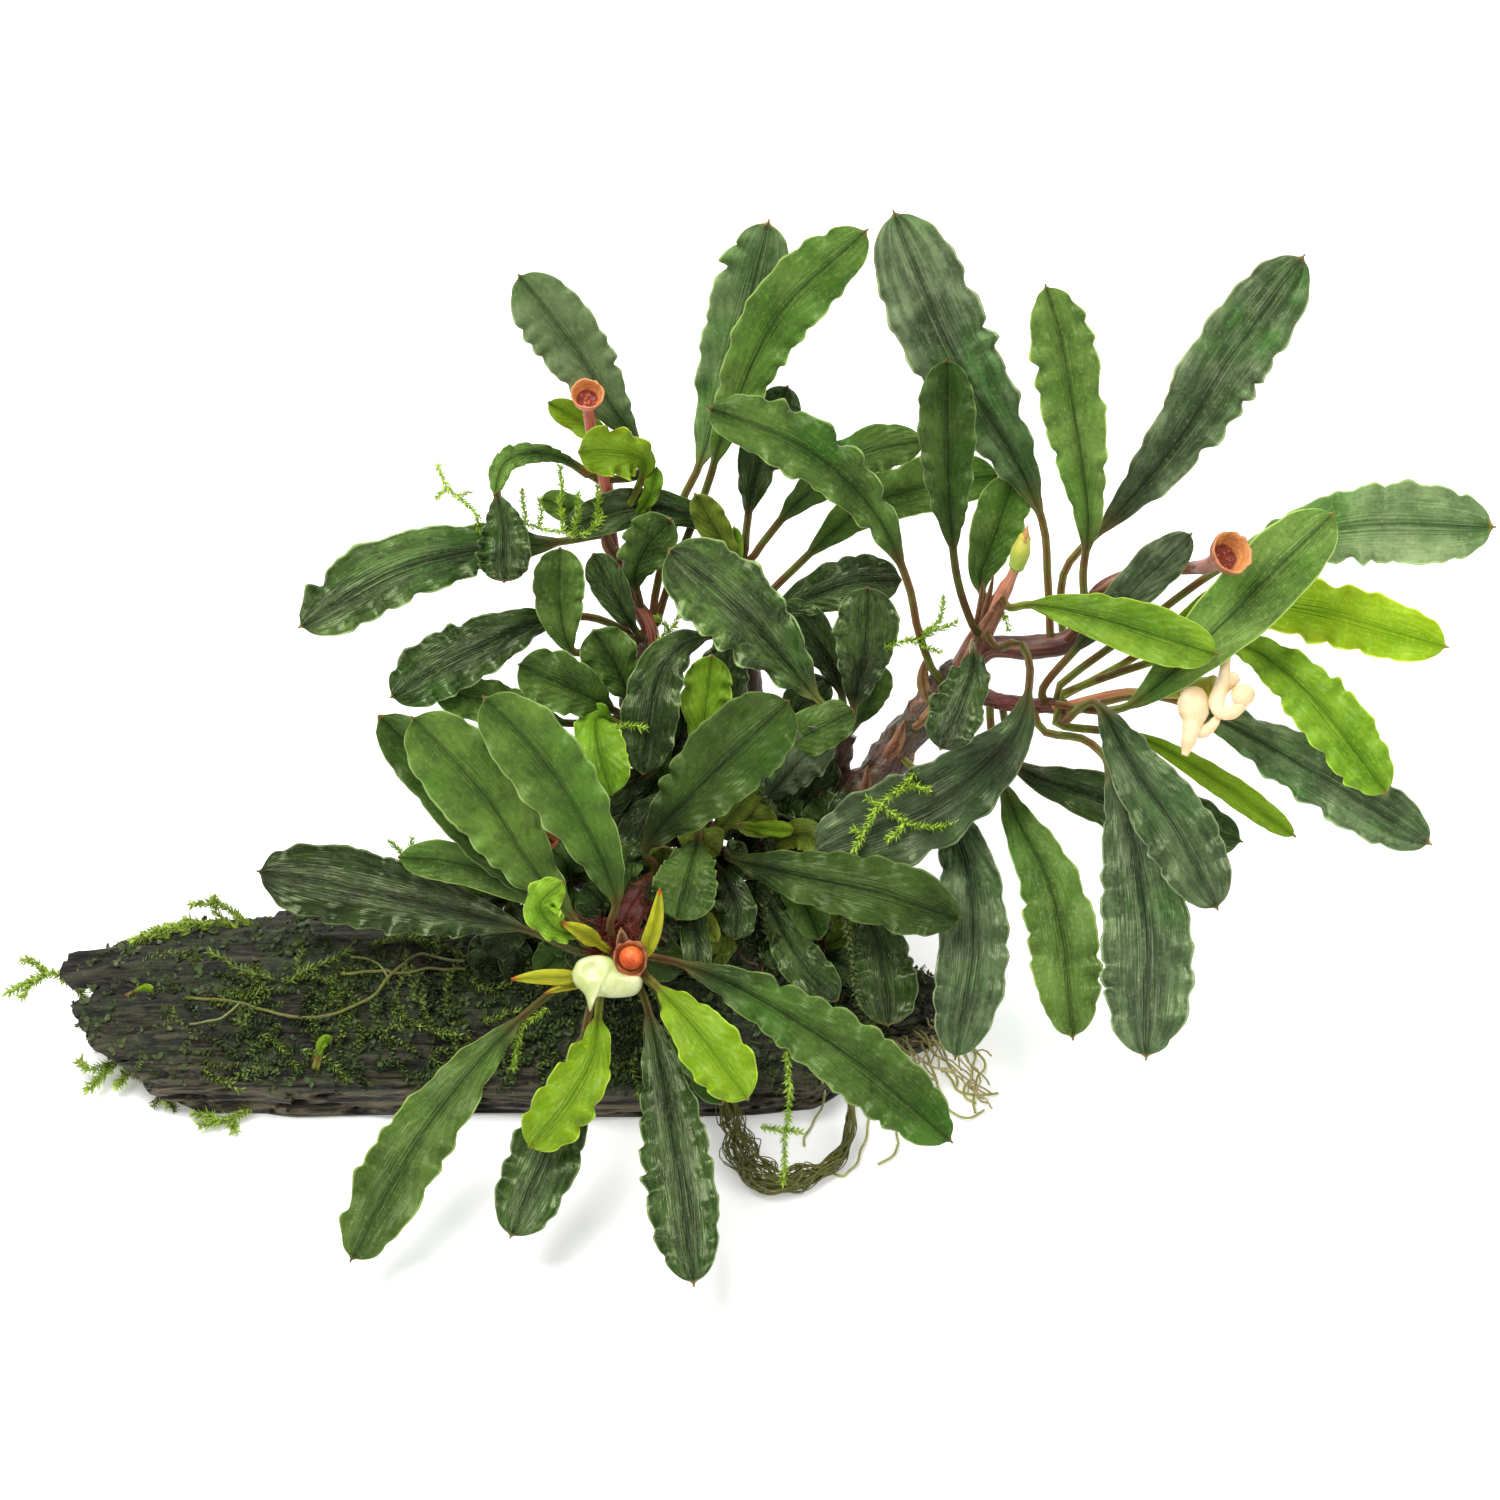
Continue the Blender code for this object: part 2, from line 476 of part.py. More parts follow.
def left_stems():
    """Rhizome that rises at the left, and the red stem above it that ends in a spent flower's cup."""
    rhizome = view_route((41.6, 36, 9), (39.6, 44, 9.6), (33, 54, 10), (26.4, 65.6, 11), (29, 81.2, 12))
    item = new_object("rhizome_left", tube_mesh(rhizome, [2.6, 2.8, 2.4, 2.4, 2.0]), "rhizome", True)
    join_small(
        item,
        small_leaf(8.0, 0.40, (40, 42, 8), (40, 54, 14), (40, 66, 16), (43, 77.6, 19)),
        small_leaf(8.0, 0.20, (27, 68, 12), (23.5, 75, 18), (19.6, 81.6, 20)),
        small_leaf(8.0, 0.20, (29, 79, 12), (24.5, 86, 19), (18.6, 97.4, 21)),
        small_leaf(5.0, 0.20, (41, 40, 9), (45.5, 44, 15), (51.6, 51, 17)),
        small_leaf(7.0, 0.20, (41, 37, 9), (39, 24, 17), (40.4, 15.6, 20.5)),
        small_leaf(9.0, 0.20, (40, 42, 9), (35, 46.5, 14), (29, 44, 17), (25.5, 35, 19)),
    )
    stem = view_route((30.6, 84.6, 12.3), (25.6, 91, 13), (23.6, 97, 14), (21.8, 104, 15), (21.4, 111, 18),
                      (18.6, 119, 24), (17.4, 126.5, 28.5))
    mouth = [(1.2, 1.8), (3.0, 3.1), (4.6, 3.4), (4.9, 3.0), (3.8, 2.4), (3.2, 1.0)]
    cup = tube_mesh(stem, [1.6, 1.5, 1.4, 1.5, 1.7, 1.0, 1.1], 9, mouth, (0.0, 0.35, 1.0))
    item = new_object("stem_with_cup_left", cup, "red_stem", True)
    join_small(
        item,
        small_leaf(8.0, 0.20, (23.6, 97, 14), (28, 98, 20), (31, 101, 24.5), (34.4, 104.2, 26)),
        small_leaf(9.0, 0.15, (21.6, 110.5, 17.5), (25, 115, 24), (17.4, 119.4, 29.5)),
        small_leaf(5.0, 0.15, (21.2, 112, 18), (17, 119.5, 17.5), (9.8, 127.4, 18)),
    )


def upper_stem():
    """Stem behind the middle of the plant, pale where the newest leaves come out."""
    rhizome = view_route((50, 33.5, 7), (50.6, 46, 7), (51, 62, 7), (49.5, 82, 9), (48, 95, 11))
    item = new_object("rhizome_upper", tube_mesh(rhizome, [2.2, 2.2, 2.0, 1.9, 1.6]), "rhizome", True)
    join_small(
        item,
        small_leaf(9.0, 0.15, (48, 94, 11), (40, 104, 17.5), (27, 106.5, 19.8), (12.4, 102, 22)),
        small_leaf(10.0, 0.15, (48.2, 93, 11), (44, 101, 20), (39.4, 108.6, 24)),
        small_leaf(10.0, 0.20, (49.5, 82, 9), (58, 87, 14), (70, 91.5, 16.5), (80.4, 92, 17)),
        small_leaf(9.0, 0.20, (49.6, 80, 9), (43, 81, 14), (34, 78, 20), (30, 69, 22), (28, 53, 22)),
        small_leaf(9.0, 0.20, (51, 60, 7), (55, 58.5, 15), (63, 62, 20), (70.6, 65, 21)),
        small_leaf(10.0, 0.25, (50, 36, 7), (54, 27, 15), (60.4, 15.4, 18.6), (67.6, 7.8, 20)),
    )


def right_stems():
    """Thick rhizome that climbs to the right, its side branches, the bud and the second cup."""
    rhizome = view_route((59.6, 29, 8), (62.4, 39.2, 9), (75.8, 54, 12), (87, 68.6, 15), (92, 74.4, 17.6))
    item = new_object("rhizome_right", tube_mesh(rhizome, [3.4, 3.6, 3.8, 3.5, 2.7]), "rhizome", True)
    side_branch = view_route((68, 46, 9), (68, 54, 10.5), (69.5, 61, 12))
    small_back_leaf = small_leaf(6.5, 0.15, (69.2, 59.8, 11.8), (72.5, 67, 11.5), (79, 68.8, 12))
    join_small(item, tube_mesh(side_branch, [1.8, 2.0, 1.8]), small_back_leaf)
    branch = view_route((94.4, 69, 16.9), (101, 67.6, 19), (109, 66.8, 21.4))
    new_object("branch_right", tube_mesh(branch, [2.4, 2.6, 2.2]), "rhizome", True)
    stem = view_route((98.6, 78.6, 19.4), (107, 78.6, 20), (115, 80.6, 21), (120, 90, 22.5), (130, 94, 24),
                      (138, 94.4, 27), (141.4, 94.8, 33.4), (143.8, 96, 39.4))
    mouth = [(1.4, 2.6), (3.6, 3.9), (5.6, 4.3), (5.9, 3.7), (4.8, 3.0), (3.8, 1.2)]
    cup = tube_mesh(stem, [2.2, 2.5, 2.2, 1.3, 1.2, 1.3, 1.6, 1.8], 9, mouth, (0.55, 0.2, 1.0))
    new_object("stem_with_cup_right", cup, "red_stem", True)
    stem = view_route((93.6, 76.8, 19), (97.4, 84, 21.6), (100.6, 90.4, 23), (101.6, 95, 25), (104, 99.5, 27),
                      (105.4, 103, 28))
    item = new_object("stem_with_bud", tube_mesh(stem, [2.4, 2.2, 1.7, 1.4, 2.3, 0.4]), "red_stem", True)
    join_small(item, small_leaf(10.0, 0.2, (98, 86, 21.5), (96, 92, 18), (98.5, 100, 17), (103, 113, 18.5)))


def right_flower():
    """Second flower: a green base with fleshy pale lobes, on a thin red stalk."""
    stalk = view_route((110.4, 66.4, 23), (126.4, 69.6, 24), (135.0, 70.2, 27), (140.8, 70.8, 31), (142.4, 71, 32.5))
    item = new_object("flower_right", tube_mesh(stalk, [0.6, 0.7, 1.0, 2.7, 1.6]), "cream", True)
    lobe_down = view_route((139.6, 69.4, 31.6), (138, 65, 34), (136.8, 57.6, 35.6))
    lobe_up = view_route((142, 71.3, 32), (144, 74.4, 33), (145.2, 77.4, 33.4))
    curl = view_route((142, 72, 32.4), (142.2, 66.5, 35), (146, 64.8, 35.6), (148.6, 68.4, 35))
    lobe_low = view_route((137.6, 62.4, 34.8), (141.4, 63, 34.6), (144.4, 65.6, 35.4))
    join_small(
        item,
        tube_mesh(lobe_down, [2.6, 1.8, 0.6], 6),
        tube_mesh(lobe_up, [1.6, 1.0, 0.6], 6),
        tube_mesh(curl, [1.4, 1.5, 1.5, 2.0], 6),
        tube_mesh(lobe_low, [1.0, 1.1, 0.6], 6),
    )


def root_loop():
    """Bundle of roots that loops out over the surface in front of the wood."""
    route = [(46, -24, 5.5), (47.5, -29, 3.2), (49.2, -35, 2.3), (54, -40.5, 2.2), (60.6, -38.6, 2.2),
             (65.8, -35.6, 2.2), (69, -30, 2.6), (70, -23, 4.4), (69.4, -19, 5.6)]
    points = [Vector(point) * MM for point in route]
    radii = [1.6, 1.9, 2.0, 2.0, 1.8, 1.6, 1.3, 1.1, 1.0]
    new_object("root_loop", tube_mesh(points, radii, 6), "root", True)


def main():
    for item in list(bpy.data.objects):
        bpy.data.objects.remove(item, do_unlink=True)
    driftwood()
    front_crown()
    left_stems()
    upper_stem()
    right_stems()
    right_flower()
    root_loop()
    for leaf in ALL_LEAVES:
        new_object(leaf.name, leaf_mesh(leaf), leaf.finish)


if __name__ == "__main__":
    main()
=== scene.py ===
"""Bucephalandra on driftwood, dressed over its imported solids.

Points of the plant are given as they are seen from the front, 45 degrees above the level:
u to the right, v up, w nearer to the viewer, in millimetres. Points of the wood are x, y, z.
"""
import math
import random
from collections import namedtuple

import bmesh
import bpy
from mathutils import Matrix, Vector, noise


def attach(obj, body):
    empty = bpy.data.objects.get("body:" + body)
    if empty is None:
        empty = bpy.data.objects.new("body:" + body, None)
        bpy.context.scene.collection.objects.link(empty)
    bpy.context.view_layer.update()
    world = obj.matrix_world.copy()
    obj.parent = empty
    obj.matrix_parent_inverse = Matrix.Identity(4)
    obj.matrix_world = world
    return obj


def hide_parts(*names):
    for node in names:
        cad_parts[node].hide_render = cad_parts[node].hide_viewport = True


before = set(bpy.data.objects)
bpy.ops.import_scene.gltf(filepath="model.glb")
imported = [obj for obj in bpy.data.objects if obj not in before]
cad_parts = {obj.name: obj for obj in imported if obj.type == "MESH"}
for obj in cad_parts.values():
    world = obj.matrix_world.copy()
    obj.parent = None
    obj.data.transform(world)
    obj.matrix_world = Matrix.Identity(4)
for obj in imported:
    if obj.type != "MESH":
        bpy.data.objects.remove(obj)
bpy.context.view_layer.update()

bl_info = {
    "name": "Bucephalandra on driftwood",
    "version": (1, 0, 0),
    "blender": (4, 5, 0),
    "location": "View3D > Sidebar > Plant",
    "description": "Leaves, stems, flowers, moss and wood of a water plant grown on driftwood",
    "category": "Object",
}

MM = 0.001
VIEW_ELEVATION = math.radians(45.0)
VIEW_DISTANCE = 1500.0
VIEW_CENTRE = (50.0, 58.0)
PICTURE_WIDTH = 300.0
SENSOR_WIDTH = 36.0
UP_IN_VIEW = Vector((0.0, math.sin(VIEW_ELEVATION), math.cos(VIEW_ELEVATION)))
TO_VIEWER = Vector((0.0, -math.cos(VIEW_ELEVATION), math.sin(VIEW_ELEVATION)))
RIGHT = Vector((1.0, 0.0, 0.0))

# A leaf's light number makes its whole colour lighter or darker: partly its own lightness, partly painted light,
# shade and sheen on that leaf.
Leaf = namedtuple("Leaf", "name tint width neck route ruffle waves light", defaults=(1.0, 7.0, 1.0))

# The large leaves, in seven groups: each route runs from the stem to the tip, as u, v, w.
LARGE_LEAVES = [
    Leaf("leaf_front_1", "grey_green", 17.8, 0.10,
         [(16.5, 19.5, 32), (15.6, 23, 35), (6, 35, 38), (-4, 50, 41), (-17.8, 64.8, 43)], 1.0, 7.0, 1.06),
    Leaf("leaf_front_2", "grey_green", 16.6, 0.05,
         [(22, 23, 36), (23, 29, 39), (17.5, 42, 43), (8.5, 56, 46), (-3.4, 68.8, 48)], 0.8, 7.0, 1.12),
    Leaf("leaf_front_3", "dark", 17.0, 0.16,
         [(16, 17.5, 31), (5.4, 22, 28), (-12, 26.5, 23), (-30, 30.5, 18), (-48.6, 33.8, 15)], 0.9, 8.0, 0.6),
    Leaf("leaf_front_4", "lime", 12.4, 0.08,
         [(20, 8, 39), (18.5, -3, 46), (13, -13, 50), (5.6, -21.6, 52)], 1.9, 4.0),
    Leaf("leaf_front_5", "dark", 15.0, 0.12,
         [(18.4, 8, 34), (15, -7, 41), (9, -23, 47), (2, -39.6, 52)], 1.0, 6.0, 1.1),
    Leaf("leaf_front_6", "mid", 14.8, 0.16,
         [(15, 13, 34), (4.4, 4.5, 37), (-8.4, -9, 42), (-19.6, -25, 48), (-30, -44.4, 54)], 1.5, 7.0, 0.82),
    Leaf("leaf_front_7", "dark", 15.0, 0.10,
         [(26, 12, 35), (29, 8, 38), (33, -10, 47), (36.2, -30, 56), (38.8, -49.2, 64)], 1.0, 9.0, 1.25),
    Leaf("leaf_front_8", "lime", 13.2, 0.12,
         [(28.8, 13.2, 38), (34, 8, 44), (41, 0, 49), (49.6, -12, 54)], 0.9, 5.0),
    Leaf("leaf_front_9", "green", 15.6, 0.10,
         [(27.5, 17, 33), (37, 15, 37), (52.6, 8, 41), (72.4, -5, 44), (90.6, -20.6, 46)], 1.1, 10.0, 1.1),
    Leaf("leaf_centre_1", "green", 18.4, 0.06,
         [(31, 35, 21), (29.5, 39, 23), (41, 52, 29), (58, 68, 33)], 0.9, 7.0, 0.62),
    Leaf("leaf_centre_2", "green", 13.8, 0.22,
         [(40, 42, 14), (39.4, 39.6, 20), (37.4, 32, 25), (35.2, 24, 28)], 0.6, 8.0, 0.84),
    Leaf("leaf_centre_3", "green", 14.8, 0.10,
         [(45, 38, 13), (47, 36, 20), (60, 33, 27), (76, 29.5, 31), (92.4, 24, 33)], 0.8, 7.0, 0.56),
    Leaf("leaf_centre_4", "bright", 12.0, 0.12,
         [(25.5, 62.5, 14), (19.5, 64.5, 19), (20, 57, 24), (22.4, 48.8, 25)], 0.8, 5.0),
    Leaf("leaf_centre_5", "dark", 13.6, 0.45,
         [(46, 33, 12), (60, 32, 14), (73, 25, 18), (77, 12, 21), (77.6, 2.6, 22)], 0.6),
    Leaf("leaf_left_1", "dark", 15.0, 0.10,
         [(20, 101, 16), (11, 99.5, 19), (-5, 98, 23), (-22, 93.6, 28), (-40.4, 82.4, 30)], 1.5, 7.0, 1.6),
    Leaf("leaf_left_2", "dark", 11.4, 0.60,
         [(18.4, 112.5, 18.5), (12.5, 116.2, 21), (5, 117.2, 25), (-0.6, 112.5, 29),
          (0.8, 102, 31), (0.8, 91.4, 32)], 0.9),
    Leaf("leaf_left_3", "dark", 14.0, 0.25,
         [(26, 81.5, 13), (17.8, 84.6, 14), (7, 83.6, 17), (-3, 79.2, 19),
          (-11, 75.4, 20.5), (-22, 68.4, 22)], 1.1, 7.0, 1.45),
    Leaf("leaf_left_4", "mid", 11.2, 0.30,
         [(24, 80, 16), (15, 77.5, 19), (12, 86, 23), (12, 98.6, 25)], 0.6, 5.0),
    Leaf("leaf_left_5", "green", 12.8, 0.10,
         [(24.6, 65, 12.5), (16, 69.6, 22), (3.6, 75.2, 25)], 0.7, 5.0),
    Leaf("leaf_top_1", "sage", 14.6, 0.12,
         [(27.6, 113, 20), (27.8, 118.6, 22), (22.2, 127, 25), (14.5, 139, 29), (3.6, 153.2, 32)], 0.7, 8.0, 0.8),
    Leaf("leaf_top_2", "sage", 16.4, 0.38,
         [(30.2, 81.6, 12.2), (31.6, 92, 13), (36.2, 107.2, 15), (40.2, 116, 16), (47.6, 140, 21),
          (53.8, 164, 30)], 1.2, 7.0, 1.5),
    Leaf("leaf_top_3", "mid", 14.4, 0.37,
         [(30.6, 80.6, 12.2), (34, 92, 13), (41.2, 110, 18), (45, 122, 24), (55.6, 145, 32), (73.6, 162.2, 38)],
         1.3, 8.0),
    Leaf("leaf_top_4", "green", 13.4, 0.29,
         [(87, 73, 20), (83.6, 82, 24), (81.4, 92, 28), (74.5, 106, 31),
          (61, 118.5, 33), (41.2, 126.6, 34)], 1.5, 6.5, 1.18),
    Leaf("leaf_top_5", "dark", 11.0, 0.18,
         [(49, 98, 13), (49.4, 103, 14), (51.5, 115, 18), (57.6, 131, 22)], 1.0, 5.0),
    Leaf("leaf_top_6", "green", 10.4, 0.18,
         [(50.5, 96.5, 13), (53, 100, 14), (60, 108, 18), (72, 117, 21), (85, 120, 23)], 1.0, 6.0),
    Leaf("leaf_top_7", "mid", 12.0, 0.20,
         [(52.4, 88, 9), (57.5, 93, 9), (72, 106, 11), (86, 111, 12.5), (100, 113, 13)], 0.9, 5.0, 1.25),
    Leaf("leaf_right_top_1", "green", 12.4, 0.28,
         [(95, 82, 24), (91.5, 92, 27), (90, 106, 31), (89.4, 121, 35), (89.4, 136.4, 38)], 0.8, 7.0, 0.66),
    Leaf("leaf_right_top_2", "silver", 19.4, 0.24,
         [(110, 82, 22), (109.5, 93, 20), (108.4, 104, 20), (102, 118, 23),
          (93.4, 132, 26.5), (84.9, 150, 31), (78.6, 166, 34)], 1.1, 9.0, 1.4),
    Leaf("leaf_right_top_3", "mid", 14.0, 0.16,
         [(117.4, 84.5, 25.6), (116.6, 93, 26.4), (117.6, 105, 28), (114.6, 126, 32),
          (112, 141, 34.5), (109, 151.2, 36)], 1.1, 8.0),
    Leaf("leaf_right_top_4", "silver", 17.0, 0.22,
         [(112.5, 82, 18), (113, 94, 17), (121.6, 103.4, 18), (130.6, 113.6, 19.5),
          (138.5, 124.5, 21.5), (146, 136.5, 25), (161, 157.2, 30)], 1.0, 9.0, 1.7),
    Leaf("leaf_right_top_5", "bright", 12.0, 0.08,
         [(102, 86.5, 28), (107, 87, 32), (120, 84.5, 38), (143.6, 77, 42)], 0.5, 5.0, 1.0),
    Leaf("leaf_right_1", "silver", 9.6, 0.20,
         [(108.6, 70.4, 25), (115, 78, 28), (124, 87.5, 30), (138.4, 101.4, 34)], 0.6, 4.0),
    Leaf("leaf_right_2", "mid", 16.0, 0.18,
         [(112, 67, 27), (126, 67, 33), (144, 83, 36), (157, 96, 37), (167, 105.6, 38)], 0.4, 5.0, 1.3),
    Leaf("leaf_right_3", "sage", 17.4, 0.42,
         [(112, 71, 19), (127, 82, 20), (148, 96.5, 22), (172, 103, 26), (199.2, 102.6, 30)], 0.9, 9.0, 1.5),
    Leaf("leaf_right_4", "lime", 13.4, 0.30,
         [(112, 68.5, 18), (126, 76, 17), (142, 87, 18), (163, 86, 22), (189.8, 78.5, 26)], 1.3, 7.0, 1.95),
    Leaf("leaf_right_5", "bright", 13.6, 0.38,
         [(112, 69, 22), (130, 75.5, 22), (147, 79, 25), (157.5, 73.3, 28),
          (166.2, 64.3, 31), (177.6, 49, 34)], 1.1, 8.0, 1.1),
    Leaf("leaf_right_6", "blue_grey", 14.0, 0.28,
         [(112, 65, 20), (130, 69, 19), (148, 62, 21), (166, 51.6, 24), (186.4, 39, 26)], 1.1, 8.0, 2.0),
    Leaf("leaf_right_7", "blue_grey", 15.6, 0.14,
         [(112.6, 63.4, 28.4), (119, 67.4, 33), (126, 56, 38), (136, 41, 42), (143.6, 26, 45)], 0.9, 7.0, 1.1),
    Leaf("leaf_right_8", "blue_grey", 19.6, 0.22,
         [(106.6, 66.4, 21.4), (109, 61.6, 23), (118, 59.5, 25), (124, 50, 28), (129, 25, 35), (129.2, -4, 41)],
         0.8, 9.0, 1.65),
    Leaf("leaf_right_9", "mid", 15.0, 0.20,
         [(98, 67, 18.4), (98.4, 61, 18.6), (100.4, 52, 21), (104, 43, 25), (109.5, 32.5, 29),
          (112.7, 18.9, 33.5), (114.6, 0, 37)], 0.75, 8.0, 1.1),
    Leaf("leaf_right_10", "dark", 13.6, 0.16,
         [(100.4, 67, 17.6), (101.6, 61, 15), (104.6, 54, 15), (120, 48.5, 17), (148.6, 39.6, 20)], 0.9, 6.0),
    Leaf("leaf_right_11", "blue_grey", 18.8, 0.21,
         [(99.5, 78.5, 27), (104, 79.5, 31), (106, 72.6, 34), (102, 60.0, 34),
          (86.8, 47.2, 30), (62.6, 37.4, 24)], 0.8, 6.0, 0.8),
    Leaf("leaf_right_12", "dark", 11.6, 0.12,
         [(94.6, 79, 28), (94.5, 74, 36), (91, 65, 39), (88, 58, 40)], 1.1, 5.0),
    Leaf("leaf_right_13", "lime", 6.0, 0.20,
         [(112, 63, 24), (128, 60.5, 26), (144, 51.5, 27), (159.2, 40.6, 30)], 0.8, 8.0),
    Leaf("leaf_right_14", "blue_grey", 15.2, 0.10,
         [(79, 58, 13.6), (88.6, 47, 20), (93.6, 34, 24), (94.6, 18, 28), (91, -4, 32)], 0.7, 8.0, 1.3),
    Leaf("leaf_middle_1", "dark", 18.4, 0.12,
         [(67, 64, 16), (62.4, 69.5, 21), (49, 85, 27), (33.6, 98.4, 32)], 1.1, 6.0, 1.85),
    Leaf("leaf_middle_2", "dark", 13.4, 0.12,
         [(70, 63, 15), (71, 68, 18), (73, 79, 21), (73.6, 90.8, 24)], 0.9, 5.0),
]

